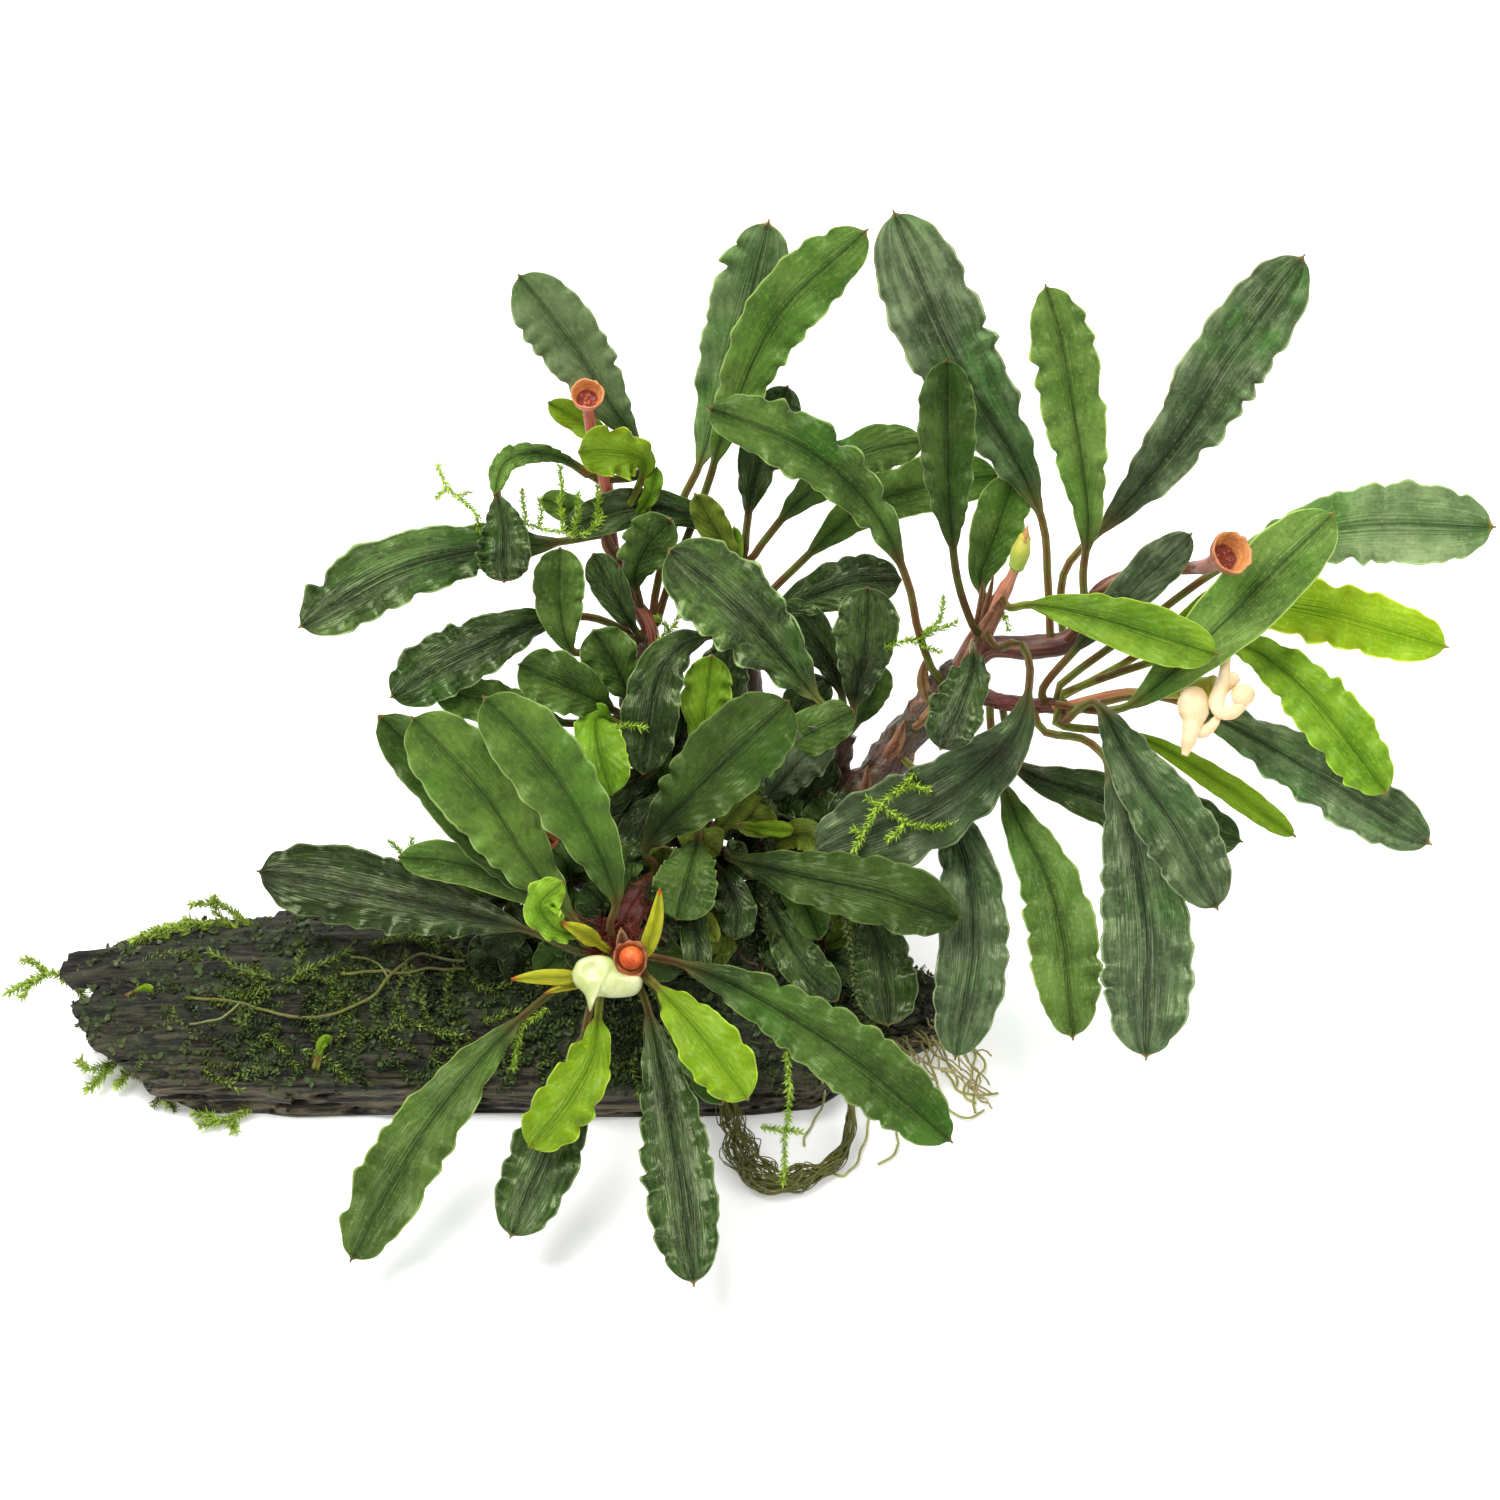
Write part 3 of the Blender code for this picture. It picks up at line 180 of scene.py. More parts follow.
# Small leaves, by the solid that they belong to.
SMALL_LEAVES = {
    "rhizome_front": [
        Leaf("cup_lobe", "paper", 3.6, 0.15, [(25.6, 16.4, 37.6), (24.6, 19.2, 41.6), (24.2, 22.2, 44)], 0.3, 3.0),
        Leaf("bract_upright", "bract", 4.4, 0.15,
             [(27.4, 15.6, 34), (29.4, 18.5, 39), (31.2, 24, 42), (32.0, 30.4, 44)], 0.0),
        Leaf("bract_level", "bract", 4.2, 0.15,
             [(17, 13.4, 36), (13.4, 12.6, 40), (8, 12.6, 42), (2.2, 12.2, 43)], 0.0),
        Leaf("bract_under", "bract", 2.0, 0.15, [(16.4, 11.6, 36), (12.4, 10.4, 40), (9, 9.4, 42)], 0.0),
        Leaf("bract_upper", "bract", 4.6, 0.20, [(21, 18.4, 34), (16.4, 21.6, 41), (12.4, 23.4, 44)], 0.5, 3.0),
        Leaf("leaf_front_10", "bright", 7.6, 0.10,
             [(17.6, 20.4, 38), (11.4, 22, 43), (8, 27, 45), (12.6, 31.8, 46)], 2.6, 5.0, 1.15),
        Leaf("leaf_front_11", "green", 9.0, 0.20,
             [(24, 16.5, 31), (32.5, 9, 32), (38, 0, 35), (44.4, -13, 38)], 1.2, 6.0),
        Leaf("leaf_front_12", "green", 13.0, 0.20,
             [(21, 20, 29), (7, 29, 30), (-3, 40, 32), (-12.6, 53, 34), (-24.4, 65, 35)], 0.7, 7.0),
        Leaf("leaf_front_13", "mid", 9.0, 0.20,
             [(20, 19.5, 29), (6, 29, 30), (-7, 35, 29), (-20.4, 36.6, 28)], 0.6, 5.0, 1.15),
    ],
    "rhizome_left": [
        Leaf("leaf_left_6", "bright", 10.4, 0.40,
             [(40, 42, 8), (40, 54, 14), (41, 66, 16), (42.4, 77, 19)], 1.6, 4.0, 1.25),
        Leaf("leaf_left_7", "green", 12.0, 0.16, [(27, 65, 12), (24.0, 73, 17), (18.6, 82.0, 20)], 0.9, 4.0),
        Leaf("leaf_left_22", "mid", 9.6, 0.30,
             [(26, 64.6, 11), (13, 63.4, 15), (0, 67.2, 17), (-13.4, 69.8, 18)], 1.3, 6.0),
        Leaf("leaf_left_8", "dark", 8.0, 0.20, [(29, 79, 12), (24.5, 86, 19), (18.6, 97.4, 21)], 0.6, 4.0),
        Leaf("leaf_left_9", "olive", 5.6, 0.20, [(41, 40, 9), (45.5, 44, 15), (51.6, 51, 17)], 0.6, 3.0),
        Leaf("leaf_left_12", "olive", 7.4, 0.20, [(41.6, 40, 10), (46, 45.4, 14), (55.6, 42.4, 17.6)], 0.8, 3.0),
        Leaf("leaf_left_13", "lime", 3.6, 0.20, [(47, 43, 15), (53, 42.4, 18.4), (58.8, 42, 19)], 0.8, 2.0),
        Leaf("leaf_left_14", "dark", 8.4, 0.20,
             [(42, 36, 10), (45, 32.4, 16), (47.4, 26, 20), (47, 20, 21)], 1.0, 4.0),
        Leaf("leaf_left_15", "dark", 6.4, 0.20,
             [(38, 36, 11), (38.6, 26, 20), (39.4, 18, 25), (40, 12, 26)], 0.8, 4.0),
        Leaf("leaf_left_16", "olive", 4.4, 0.20, [(38.6, 34, 12), (40, 26, 20), (43.6, 19.6, 23)], 0.8, 3.0),
        Leaf("leaf_left_17", "dark", 8.0, 0.20,
             [(32, 55, 10.6), (28, 52, 15), (19, 46, 17), (11, 43, 18)], 0.8, 4.0),
        Leaf("leaf_left_18", "dark", 8.0, 0.20,
             [(36, 48, 10.6), (30, 45, 15), (22, 40, 18), (17, 34, 20)], 0.8, 4.0),
        Leaf("leaf_left_19", "green", 7.0, 0.20,
             [(38, 41, 10.6), (31, 38, 16), (26, 36, 19), (22, 28, 23)], 0.8, 4.0),
        Leaf("leaf_left_20", "dark", 9.0, 0.20,
             [(34, 52, 11), (38, 57, 12), (44, 58.6, 13), (51, 62, 13)], 0.8, 4.0),
        Leaf("leaf_left_21", "green", 8.0, 0.20,
             [(37, 46, 11), (33.4, 52, 12), (31, 58, 13), (31.4, 66, 14)], 0.8, 4.0),
        Leaf("leaf_left_10", "dark", 7.0, 0.20, [(41, 37, 9), (39, 24, 17), (40.4, 15.6, 20.5)], 0.6, 4.0),
        Leaf("leaf_left_11", "dark", 9.0, 0.20,
             [(40, 42, 9), (35, 46.5, 14), (29, 44, 17), (25.5, 35, 19)], 0.8, 4.0),
    ],
    "stem_with_cup_left": [
        Leaf("leaf_cup_1", "green", 11.0, 0.15,
             [(28, 87, 14), (27, 93, 18), (29.5, 99, 22), (34.4, 104.2, 25)], 0.8, 4.0),
        Leaf("leaf_cup_2", "lime", 10.8, 0.36,
             [(24, 104, 17.5), (27.6, 110.4, 21), (28.8, 115.6, 25), (23.0, 117.6, 28.6), (15.6, 117.6, 30)], 1.5,
             4.0),
        Leaf("leaf_cup_3", "lime", 6.0, 0.15,
             [(22, 112, 17), (21.6, 118.6, 17.5), (17, 123, 18), (9.6, 127.6, 18)], 1.2, 3.0),
        Leaf("leaf_cup_6", "bright", 4.0, 0.10, [(26, 104, 18), (30, 109, 22), (31.4, 114.6, 23)], 1.7, 3.0),
        Leaf("petiole_1", "bright", 2.4, 0.10, [(28, 92, 13.6), (30.6, 98, 15), (31.8, 105, 17)], 0.2, 3.0),
        Leaf("petiole_2", "olive", 2.2, 0.10, [(26, 94, 13.6), (29, 100, 17), (29.6, 107, 21)], 0.2, 3.0),
        Leaf("leaf_cup_4", "paper", 3.4, 0.10, [(24, 96, 15), (21.6, 99, 17.4), (21, 103, 18)], 0.2, 3.0),
        Leaf("leaf_cup_5", "grey_green", 6.4, 0.20,
             [(23.6, 97, 14), (18.6, 103, 18), (13, 106.6, 20), (8, 108.4, 21)], 0.9, 4.0),
    ],
    "leaf_left_2": [
        Leaf("leaf_arch", "green", 5.0, 0.08,
             [(18.4, 112.8, 18.6), (12.5, 116.4, 21.4), (6, 117.4, 25.4), (0.8, 115.4, 28.4), (-1.2, 109, 30.4)],
             2.4, 9.0, 1.6),
    ],
    "rhizome_upper": [
        Leaf("leaf_upper_1", "dark", 9.0, 0.15,
             [(48, 94, 11), (40, 104, 17.5), (27, 106.5, 19.8), (12.4, 102, 22)], 0.6, 5.0),
        Leaf("leaf_upper_2", "olive", 7.0, 0.12,
             [(47.4, 92, 11.6), (45.4, 97.6, 17), (42.6, 103, 21), (39, 109.2, 24)], 0.9, 4.0),
        Leaf("leaf_upper_7", "bright", 3.0, 0.10, [(48, 93, 12), (47.6, 97, 14), (46.8, 102.6, 16)], 0.2, 3.0),
        Leaf("leaf_upper_3", "dark", 11.4, 0.16,
             [(49.5, 82, 9), (58, 87, 14), (70, 91.5, 16.5), (80.4, 92, 17)], 0.7, 5.0),
        Leaf("leaf_upper_4", "dark", 12.6, 0.20,
             [(49.6, 80, 9), (43, 81, 14), (35, 78, 20), (30.6, 69, 21), (28.6, 53, 19)], 0.9, 6.0),
        Leaf("leaf_upper_5", "green", 10.4, 0.20,
             [(51, 60, 7), (55, 58.5, 15), (63, 62, 20), (70.8, 66, 21)], 0.9, 4.0),
        Leaf("leaf_upper_8", "silver", 10.6, 0.20,
             [(51, 44, 7.4), (54, 49, 13), (60, 56, 17.6), (66.4, 61, 19)], 0.9, 4.0),
        Leaf("leaf_upper_9", "dark", 9.4, 0.20,
             [(51, 40, 7.4), (56, 44, 11), (62, 50, 13), (66, 57, 13)], 0.9, 4.0),
        Leaf("leaf_upper_10", "dark", 9.0, 0.20,
             [(50.6, 50, 7.4), (46, 54, 10), (41, 60, 12), (38, 68, 13)], 0.9, 4.0),
        Leaf("leaf_upper_11", "green", 8.0, 0.20,
             [(51, 38, 8), (56, 34, 14), (61, 27, 17), (64, 20, 19)], 0.9, 4.0),
        Leaf("leaf_upper_12", "dark", 9.0, 0.20,
             [(51.4, 56, 7.6), (56, 60, 10), (60, 67, 12), (66, 72, 13)], 0.9, 4.0),
        Leaf("leaf_upper_14", "dark", 10.4, 0.16,
             [(50.6, 57, 7.4), (47.4, 64, 11), (45, 72, 13), (46, 80.6, 13)], 0.9, 4.0),
        Leaf("leaf_upper_13", "olive", 7.0, 0.20,
             [(50.4, 36, 8), (56, 40, 14), (61.4, 41, 18), (66, 37, 20)], 0.9, 4.0),
        Leaf("leaf_upper_6", "dark", 10.0, 0.25,
             [(50, 36, 7), (54, 27, 15), (60.4, 15.4, 18.6), (67.6, 7.8, 20)], 0.8, 6.0),
    ],
    "rhizome_right": [
        Leaf("leaf_branch_1", "mid", 7.4, 0.15, [(69.4, 61, 11.8), (73, 66, 11.5), (76.6, 75.0, 12)], 0.9, 4.0),
        Leaf("leaf_side_1", "dark", 9.0, 0.20,
             [(69.2, 62, 12), (67.6, 72, 13), (62.4, 81.4, 14), (56.2, 87.6, 15)], 0.9, 4.0),
        Leaf("scale_1", "paper", 3.6, 0.1, [(76, 54.6, 15), (79.4, 59.4, 16.4), (81, 64, 17)], 0.3, 3.0),
        Leaf("scale_2", "paper", 3.0, 0.1, [(70, 46.6, 12.6), (73, 50, 15), (73.6, 55, 15.6)], 0.3, 3.0),
        Leaf("scale_3", "paper", 4.0, 0.1, [(83, 62.6, 17), (87, 66, 19), (90, 71.6, 20)], 0.3, 3.0),
        Leaf("scale_4", "paper", 3.4, 0.1, [(86, 67, 17), (84.6, 71.4, 18), (85, 76.4, 18.6)], 0.3, 3.0),
        Leaf("scale_5", "paper", 2.6, 0.1, [(64, 41.6, 11), (63.4, 45.6, 13), (64.6, 50, 13.6)], 0.3, 3.0),
    ],
    "stem_with_cup_right": [
        Leaf("sheath_1", "paper", 4.0, 0.1, [(113.6, 80.2, 22.4), (118, 84.6, 24), (122, 88.6, 24.8)], 0.3, 3.0),
        Leaf("sheath_2", "paper", 3.0, 0.1, [(119.4, 89.4, 23.6), (124, 91.6, 25.6), (129, 93.4, 26.2)], 0.3, 3.0),
    ],
    "stem_with_bud": [
        Leaf("leaf_bud_1", "mid", 11.6, 0.12,
             [(98, 86, 21.5), (96, 92, 18), (98.5, 100, 17), (103, 113, 18.5)], 0.6, 4.0),
        Leaf("fibre_1", "paper", 1.8, 0.1, [(95.4, 80, 21.6), (97.4, 87, 23.6), (98.8, 93.4, 24)], 0.2, 3.0),
        Leaf("fibre_2", "paper", 1.8, 0.1, [(95, 80.6, 21.4), (96, 86.6, 23), (96.6, 91.8, 23.2)], 0.2, 3.0),
        Leaf("fibre_3", "paper", 3.0, 0.1, [(94.6, 79, 21.6), (98, 84.4, 24.2), (100.2, 88.6, 25)], 0.2, 3.0),
    ],
}

# Colours in 0 to 255: blade, lighter patches, along the rib, margin (partly a painted highlight along the wet
# edge), underside.
TINTS = {
    "dark": ((22, 37, 12), (56, 80, 30), (10, 18, 8), (112, 132, 78), (60, 82, 40), 0.26),
    "green": ((36, 58, 16), (76, 104, 40), (17, 31, 10), (126, 150, 80), (66, 92, 40), 0.36),
    "mid": ((52, 80, 24), (94, 122, 52), (28, 50, 14), (158, 182, 92), (88, 122, 44), 0.42),
    "grey_green": ((51, 78, 24), (86, 114, 42), (32, 52, 20), (126, 150, 84), (76, 106, 50), 0.48),
    "sage": ((58, 82, 44), (104, 122, 80), (36, 56, 26), (142, 164, 104), (84, 112, 60), 0.46),
    "silver": ((38, 54, 30), (98, 112, 80), (22, 32, 16), (130, 140, 98), (74, 88, 56), 0.42),
    "blue_grey": ((28, 44, 24), (78, 96, 62), (17, 28, 14), (118, 134, 94), (64, 84, 52), 0.38),
    "bright": ((78, 116, 14), (120, 156, 36), (50, 88, 12), (166, 196, 66), (104, 150, 34), 0.42),
    "lime": ((92, 124, 8), (116, 146, 20), (84, 122, 14), (166, 196, 64), (120, 160, 34), 0.44),
    "olive": ((76, 90, 20), (112, 126, 38), (50, 62, 16), (134, 142, 62), (94, 104, 34), 0.46),
    "bract": ((156, 166, 28), (190, 190, 50), (166, 164, 40), (196, 170, 60), (160, 152, 36), 0.48),
    "paper": ((100, 60, 44), (164, 120, 90), (92, 48, 34), (210, 168, 136), (150, 104, 78), 0.60),
}
LEAF_SLOTS = {
    "dark": "leaf_dark", "green": "leaf_dark", "mid": "leaf_mid", "grey_green": "leaf_mid", "sage": "leaf_mid",
    "silver": "leaf_dark", "blue_grey": "leaf_dark", "bright": "leaf_bright", "lime": "leaf_lime",
    "olive": "leaf_mid", "bract": "leaf_lime", "paper": "rhizome",
}
POINTED_TINTS = ("bract", "paper")
PALE_TINTS = ("lime", "bright", "bract", "paper")
GREY_TINTS = ("dark", "silver", "blue_grey")

NEAREST_W = 45.0
FARTHEST_W = -30.0
SEARCH_STEP = 0.3
STRAY_GRAIN = 260.0
STRAY_SEED = 3
LINE_ABOVE_FLOOR = 0.0003
MOSS_ABOVE_FLOOR = 0.0001
SMALLEST = 1e-9
COAT_ROUGHNESS = 0.12
SUBSURFACE_SCALE = 0.002
SHADOW_LIFTING_FLOOR_GLOW = 0.25
GREEN_SHINE = (0.84, 0.95, 0.54, 1.0)
# Colour of the painted wet sheen: pale threads on the grey leaves that stand in for reflected light.
PAINTED_WET_SHEEN = (128, 134, 104)
BRACT_POINT = (214, 96, 44)
LEAF_POINT = (150, 116, 58)
FRESH_STALK = (132, 148, 56)
GREEN_STALK = (98, 104, 46)
BROWN_STALK = (106, 72, 42)

LEAF_NUMBERS = ("under", "stalk", "tone")
STALK_HALF = 0.75
BLADE_BULK = 0.26
STALK_BULK = 0.7
SMALL_LEAF_STEPS = 36
INNER_LEAF_STEPS = 18
STALK_STEPS = 8
HALF_STEPS = 7
STALK_INTO_STEM = 2.2
LOBE_REACH = 0.17
BLADE_LIFT = 0.12
WAVE_HEIGHT = 1.35
QUILT_HEIGHT = 0.85
ROLL_HEIGHT = 0.35
LEAFLET_TURN = 137.5
STEM_CORNERS = 4
ROOT_CORNERS = 5
MOSS_STEM = 0.00010
THREAD_STEPS = 34
BALL_RINGS = 20
BALL_SIDES = 28
HOOD_CENTRE = (20.6, 12.2, 45.6)
HOOD_HEIGHT = 3.0
HOOD_CORNERS = 56
HOOD_RINGS = 14
CREST = 0.72
FRONT_WALL = 0.14
BACK_WALL = 0.88
WALL_LEAN = 1.2
CRACK_DEPTH = 1.8
CRACK_WIDTH = 0.10
RIGHT_JAGS = 0.93
SEEN_SHARE = 0.7071
WOOD_COLUMNS = 260
WOOD_AROUND = 84
BOARD_HALF = 3.0
BOARD_TOP = -0.0002

# Driftwood from above: along x, front edge, back edge, height of the front edge, height of the top.
WOOD_STATIONS = [
    (-87.0, 1.0, 14.0, 4.0, 9.0),
    (-80.0, -4.0, 17.0, 6.0, 12.0),
    (-73.0, -10.0, 19.0, 7.0, 13.5),
    (-64.0, -17.0, 20.5, 8.0, 14.5),
    (-52.0, -20.0, 22.0, 9.0, 16.0),
    (-40.0, -22.0, 23.5, 9.0, 17.0),
    (-25.0, -21.5, 23.0, 8.5, 17.5),
    (-10.0, -21.0, 22.5, 8.5, 18.0),
    (5.0, -21.0, 22.0, 8.5, 18.5),
    (20.0, -22.0, 22.0, 9.0, 18.5),
    (35.0, -22.0, 21.0, 9.0, 18.0),
    (50.0, -21.5, 20.0, 9.0, 17.0),
    (62.0, -20.0, 18.0, 8.5, 15.0),
    (72.0, -13.0, 15.0, 7.5, 13.0),
    (80.0, -6.0, 12.0, 6.5, 11.0),
    (88.0, -1.0, 8.0, 5.5, 9.0),
]

# Where the wood's ragged left end lies, for heights up the picture.
LEFT_END = [
    (-15.6, -46.0), (-15.0, -57.0), (-13.2, -60.2), (-11.8, -64.0), (-10.0, -68.8), (-7.6, -70.0), (-5.6, -73.0),
    (-3.6, -75.8), (-1.4, -80.0), (1.4, -81.6), (4.2, -83.8), (7.2, -85.0), (8.0, -84.8), (9.4, -81.0),
    (11.0, -80.4),
    (12.0, -86.8), (14.6, -88.2), (17.2, -86.2), (19.4, -76.4), (20.4, -70.2), (22.8, -61.2), (25.0, -51.4),
    (26.4, -46.0),
]
LEFT_TURN = -46.0
CLUMP_CENTRE = (44.0, 13.0)
CLUMP_REACH = (24.0, 11.0)
CLUMP_HEIGHT = 14.0

# Outline of the pale hood at the front, as u, v.
HOOD_OUTLINE = [
    (14.3, 13.4), (15.8, 16.0), (19.4, 17.0), (22.4, 16.2), (23.6, 13.8), (25.6, 12.9), (28.1, 12.6), (28.4, 10.8),
    (26.8, 8.9), (22.6, 8.4), (19.3, 8.5), (18.0, 5.6), (17.0, 8.9), (14.9, 11.2),
]

# Lobes of the pale flower at the right: route as u, v, w, and radii.
PALE_LOBES = (
    (((137.2, 69.4, 32.4), (138.4, 68.0, 34.0), (138.7, 65.6, 34.8), (138.4, 62.8, 35.4), (137.7, 59.8, 35.8),
      (136.9, 56.9, 36.0)), (1.4, 3.1, 3.0, 1.9, 1.5, 0.7)),
    (((138.8, 61.2, 35.0), (141.0, 61.8, 35.0), (142.8, 63.4, 35.0), (144.2, 65.8, 34.8)), (0.9, 1.3, 1.0, 0.35)),
    (((145.3, 76.8, 33.4), (144.9, 73.6, 34.6), (144.4, 70.8, 35.4), (143.4, 68.0, 36.0), (144.0, 65.8, 36.4),
      (146.4, 65.4, 36.6), (148.4, 67.2, 36.2)), (0.9, 1.1, 1.5, 1.6, 1.4, 1.3, 1.2)),
    (((144.6, 70.2, 33.8), (146.6, 72.6, 34.2), (147.2, 73.4, 34.2)), (1.3, 1.6, 0.6)),
)

# Paths among the rhizomes where moss and roots start, as u, v, w.
CLUMP_ROUTES = [
    [(35, 26, 13), (31.4, 30.5, 17), (27, 27, 25)], [(41.6, 34, 9), (39.6, 44, 9.6), (33, 54, 10)],
    [(50, 33.5, 8), (50.6, 46, 8)], [(58, 28, 8), (62.4, 39.2, 9), (72, 50, 11)],
    [(30, 26, 8), (44, 28, 8), (66, 26, 6)],
    [(0, 30, -1), (20, 30, 0), (40, 33, 3)], [(6, 34, 2), (22, 38, 8), (38, 42, 9)],
    [(66, 24, 4), (72, 14, 6), (76, 8, 6)],
    [(30, 22, 12), (44, 20, 12), (60, 18, 10)],
]

# Places on the rhizomes where the leaves inside start.
INNER_STARTS = [
    (31.4, 30.5, 14), (41.6, 36, 9), (39.6, 44, 9.6), (33, 54, 10), (50.6, 42, 7), (60.4, 32, 8), (62.4, 40, 9),
    (72, 50, 11),
    (22, 24, 14), (14, 32, 12), (2, 28, 8), (50, 24, 9), (64, 18, 8),
]

# Middle lines of the rhizomes and stems, as u, v, w. Every stalk starts on the nearest one.
STEM_ROUTES = {
    "front_rhizome": [(35, 26, 13), (31.4, 30.5, 17), (27, 27, 25), (22.4, 18, 31)],
    "left_rhizome": [(41.6, 36, 9), (39.6, 44, 9.6), (33, 54, 10), (26.4, 65.6, 11), (29, 81.2, 12)],
    "upper_rhizome": [(50, 33.5, 7), (50.6, 46, 7), (51, 62, 7), (49.5, 82, 9), (48, 95, 11)],
    "right_rhizome": [(59.6, 29, 8), (62.4, 39.2, 9), (75.8, 54, 12), (87, 68.6, 15), (92, 74.4, 17.6)],
    "side_rhizome": [(68, 46, 9), (68, 54, 10.5), (69.5, 61, 12)],
    "right_branch": [(91.4, 70.4, 16), (101, 67.6, 19), (110.4, 66.8, 21.8), (113.4, 67, 23)],
    "cup_stem_left": [(30.4, 79, 11.8), (29.4, 83.6, 12.6), (25.8, 89, 13.2), (23.2, 96, 14.4), (21.8, 104, 15.6),
                      (21.2, 111, 18), (18.6, 120, 24), (17.4, 127.4, 28.5)],
    "cup_stem_right": [(95.4, 76.6, 18.6), (98.6, 78.6, 19.4), (107, 78.6, 20), (115, 80.6, 21), (120, 90, 22.5),
                       (130, 94, 24), (138, 94.4, 27), (141.4, 94.8, 33.4), (143.8, 96, 39.4)],
    "cup_stem_front": [(15, 24, 25), (8.6, 31, 27), (9.4, 38.4, 31)],
    "bud_stem": [(92.4, 74.4, 18), (95, 79, 20), (98.4, 85, 22), (100.8, 89.8, 23.4), (102.4, 92.8, 24.8),
                 (103.6, 95.6, 26)],
}

# Moss tufts at the ends and the lower edge of the wood, as u, v, w.
END_TUFTS = [
    [(-50, -13.4, 15.4), (-52.6, -15.0, 16.6), (-56, -16.2, 17.8), (-60, -17.0, 18.8)],
    [(-52.6, -15.0, 16.6), (-53.6, -16.6, 18), (-53.2, -17.8, 19.2)],
    [(-56, -16.2, 17.8), (-58.6, -15, 16.8), (-61.4, -14.8, 16.6)],
    [(-61, -8.4, 10.6), (-64, -10.4, 12), (-66.6, -12.6, 13.8)],
    [(-64, -10.4, 12), (-66.4, -9.8, 11.6), (-68, -8.4, 11)],
    [(-71, -3.4, 8), (-74, -6.0, 10), (-76.6, -8.8, 12.4)], [(-88, 12.6, -0.6), (-85, 10.4, 0), (-82.4, 7.6, 1)],
    [(-64, -5, 8), (-68, -4, 8), (-72, -3, 8), (-74.6, -0.6, 8), (-75.8, 1.4, 9)],
    [(-64, -5, 8), (-68, -4, 8), (-72, -3.2, 8), (-78, -4.8, 9), (-81.6, -5.6, 10), (-84, -4.2, 9.5)],
    [(-78, -4.8, 9), (-80, -7.6, 12), (-82.4, -9.8, 14.2)],
    [(-76, 8.6, -1), (-80, 9.6, -0.6), (-84, 11.6, -0.6), (-90.4, 13.2, -0.4), (-98.4, 9.4, -1.2)],
    [(-90.4, 13.2, -0.4), (-93, 15.4, 0), (-95.6, 15.8, 0)],
    [(-91, 12.8, -0.4), (-94, 11.2, 0), (-96, 8.8, 0)],
    [(-49, 22.4, -3), (-52.4, 24.6, -3), (-55.6, 26.6, -3), (-59, 27.4, -2.5), (-61.8, 27.0, -2)],
    [(-54, 23, -3), (-57, 25.4, -3), (-57.4, 28.4, -3)],
    [(-52, 22, -3), (-56, 23.6, -3), (-60, 23.4, -3), (-63, 24, -3)],
    [(-58, 22, -3), (-62, 23.4, -3), (-66, 22.8, -3), (-69, 21.6, -3)],
    [(-62, 21.4, -2), (-67, 22.4, -2.5), (-71.4, 21, -2)],
    [(-66, 20.2, -2), (-70, 20.8, -2), (-74, 19.4, -2)],
]

# Moss strands in the air, as u, v, w.
FREE_STRANDS = [
    [(-12.6, 115.6, 26), (-10.4, 110.6, 25), (-5.2, 105.4, 24), (-4.2, 102.6, 25)],
    [(-10.4, 110.6, 25), (-12.4, 108.6, 25)], [(-8.6, 108.6, 24.6), (-6, 109.6, 24.6)],
    [(4, 103.6, 24), (11.4, 101.6, 24), (17.2, 101.2, 23), (20.4, 104.8, 22)],
    [(5.2, 103.4, 24), (4.8, 106.6, 24), (4.4, 109.6, 24)],
    [(7.6, 102.6, 24), (8.2, 105.4, 24.4), (8.0, 108, 24.6)],
    [(12.6, 101.6, 24), (12.2, 106.4, 24), (12.4, 110, 23.6), (11.6, 114.6, 23)],
    [(14.6, 101.4, 24), (15.6, 105.6, 24.6), (15.4, 109.4, 25)],
    [(19, 102.6, 22.6), (19.4, 106.6, 22.6), (19.6, 110.6, 22.4)],
    [(84.4, 54.8, 31), (80, 50.4, 31), (76, 47, 30.5), (73.2, 42.4, 29), (71, 38, 28)],
    [(76, 47, 30.5), (81, 43.4, 31), (86, 42.8, 31.4), (91.6, 43.2, 31)],
    [(81, 43.4, 31), (79, 41.6, 30.4), (77.4, 40.4, 30)], [(79, 49.6, 31), (82.6, 50.6, 31.6), (85.6, 50, 31.4)],
    [(76, 47, 30.5), (73.4, 48.4, 30)], [(72.6, 41.4, 29), (70.4, 42, 28.6)],
    [(76.8, 78.4, 22), (84, 80.6, 24), (91.2, 83.6, 26)], [(84, 80.6, 24), (88, 84, 24.6), (88.4, 88.4, 25)],
    [(82, 80, 23.6), (88, 77.6, 24.4)],
    [(57.8, 1.0, 41.4), (57.4, -2.8, 40), (57.8, -12, 37), (57, -20, 35.6), (56.6, -28.4, 34.4)],
    [(52, -17.4, 36), (56, -18.2, 35.6), (60, -18.6, 35)],
    [(30.6, 78, 14), (34, 82, 15), (36.4, 86, 15), (37.6, 90, 15)], [(34, 82, 15), (31.4, 84.6, 15.6)],
    [(9.6, 6.4, 36), (4, 2, 36), (2.6, -5.6, 35)], [(4, 2, 36), (0.8, 1.4, 36), (-1.6, -0.4, 36)],
    [(-7, 31.4, 9), (-11, 32.6, 10), (-15.6, 33.6, 10), (-18.4, 36.6, 10), (-22, 39.4, 10)],
    [(-18.4, 36.6, 10), (-17.4, 40, 10)],
    [(100.6, 85.6, 23), (101.8, 82.4, 24)], [(23.2, 62.4, 22), (26, 62.8, 22), (28.8, 62.2, 21.6)],
]
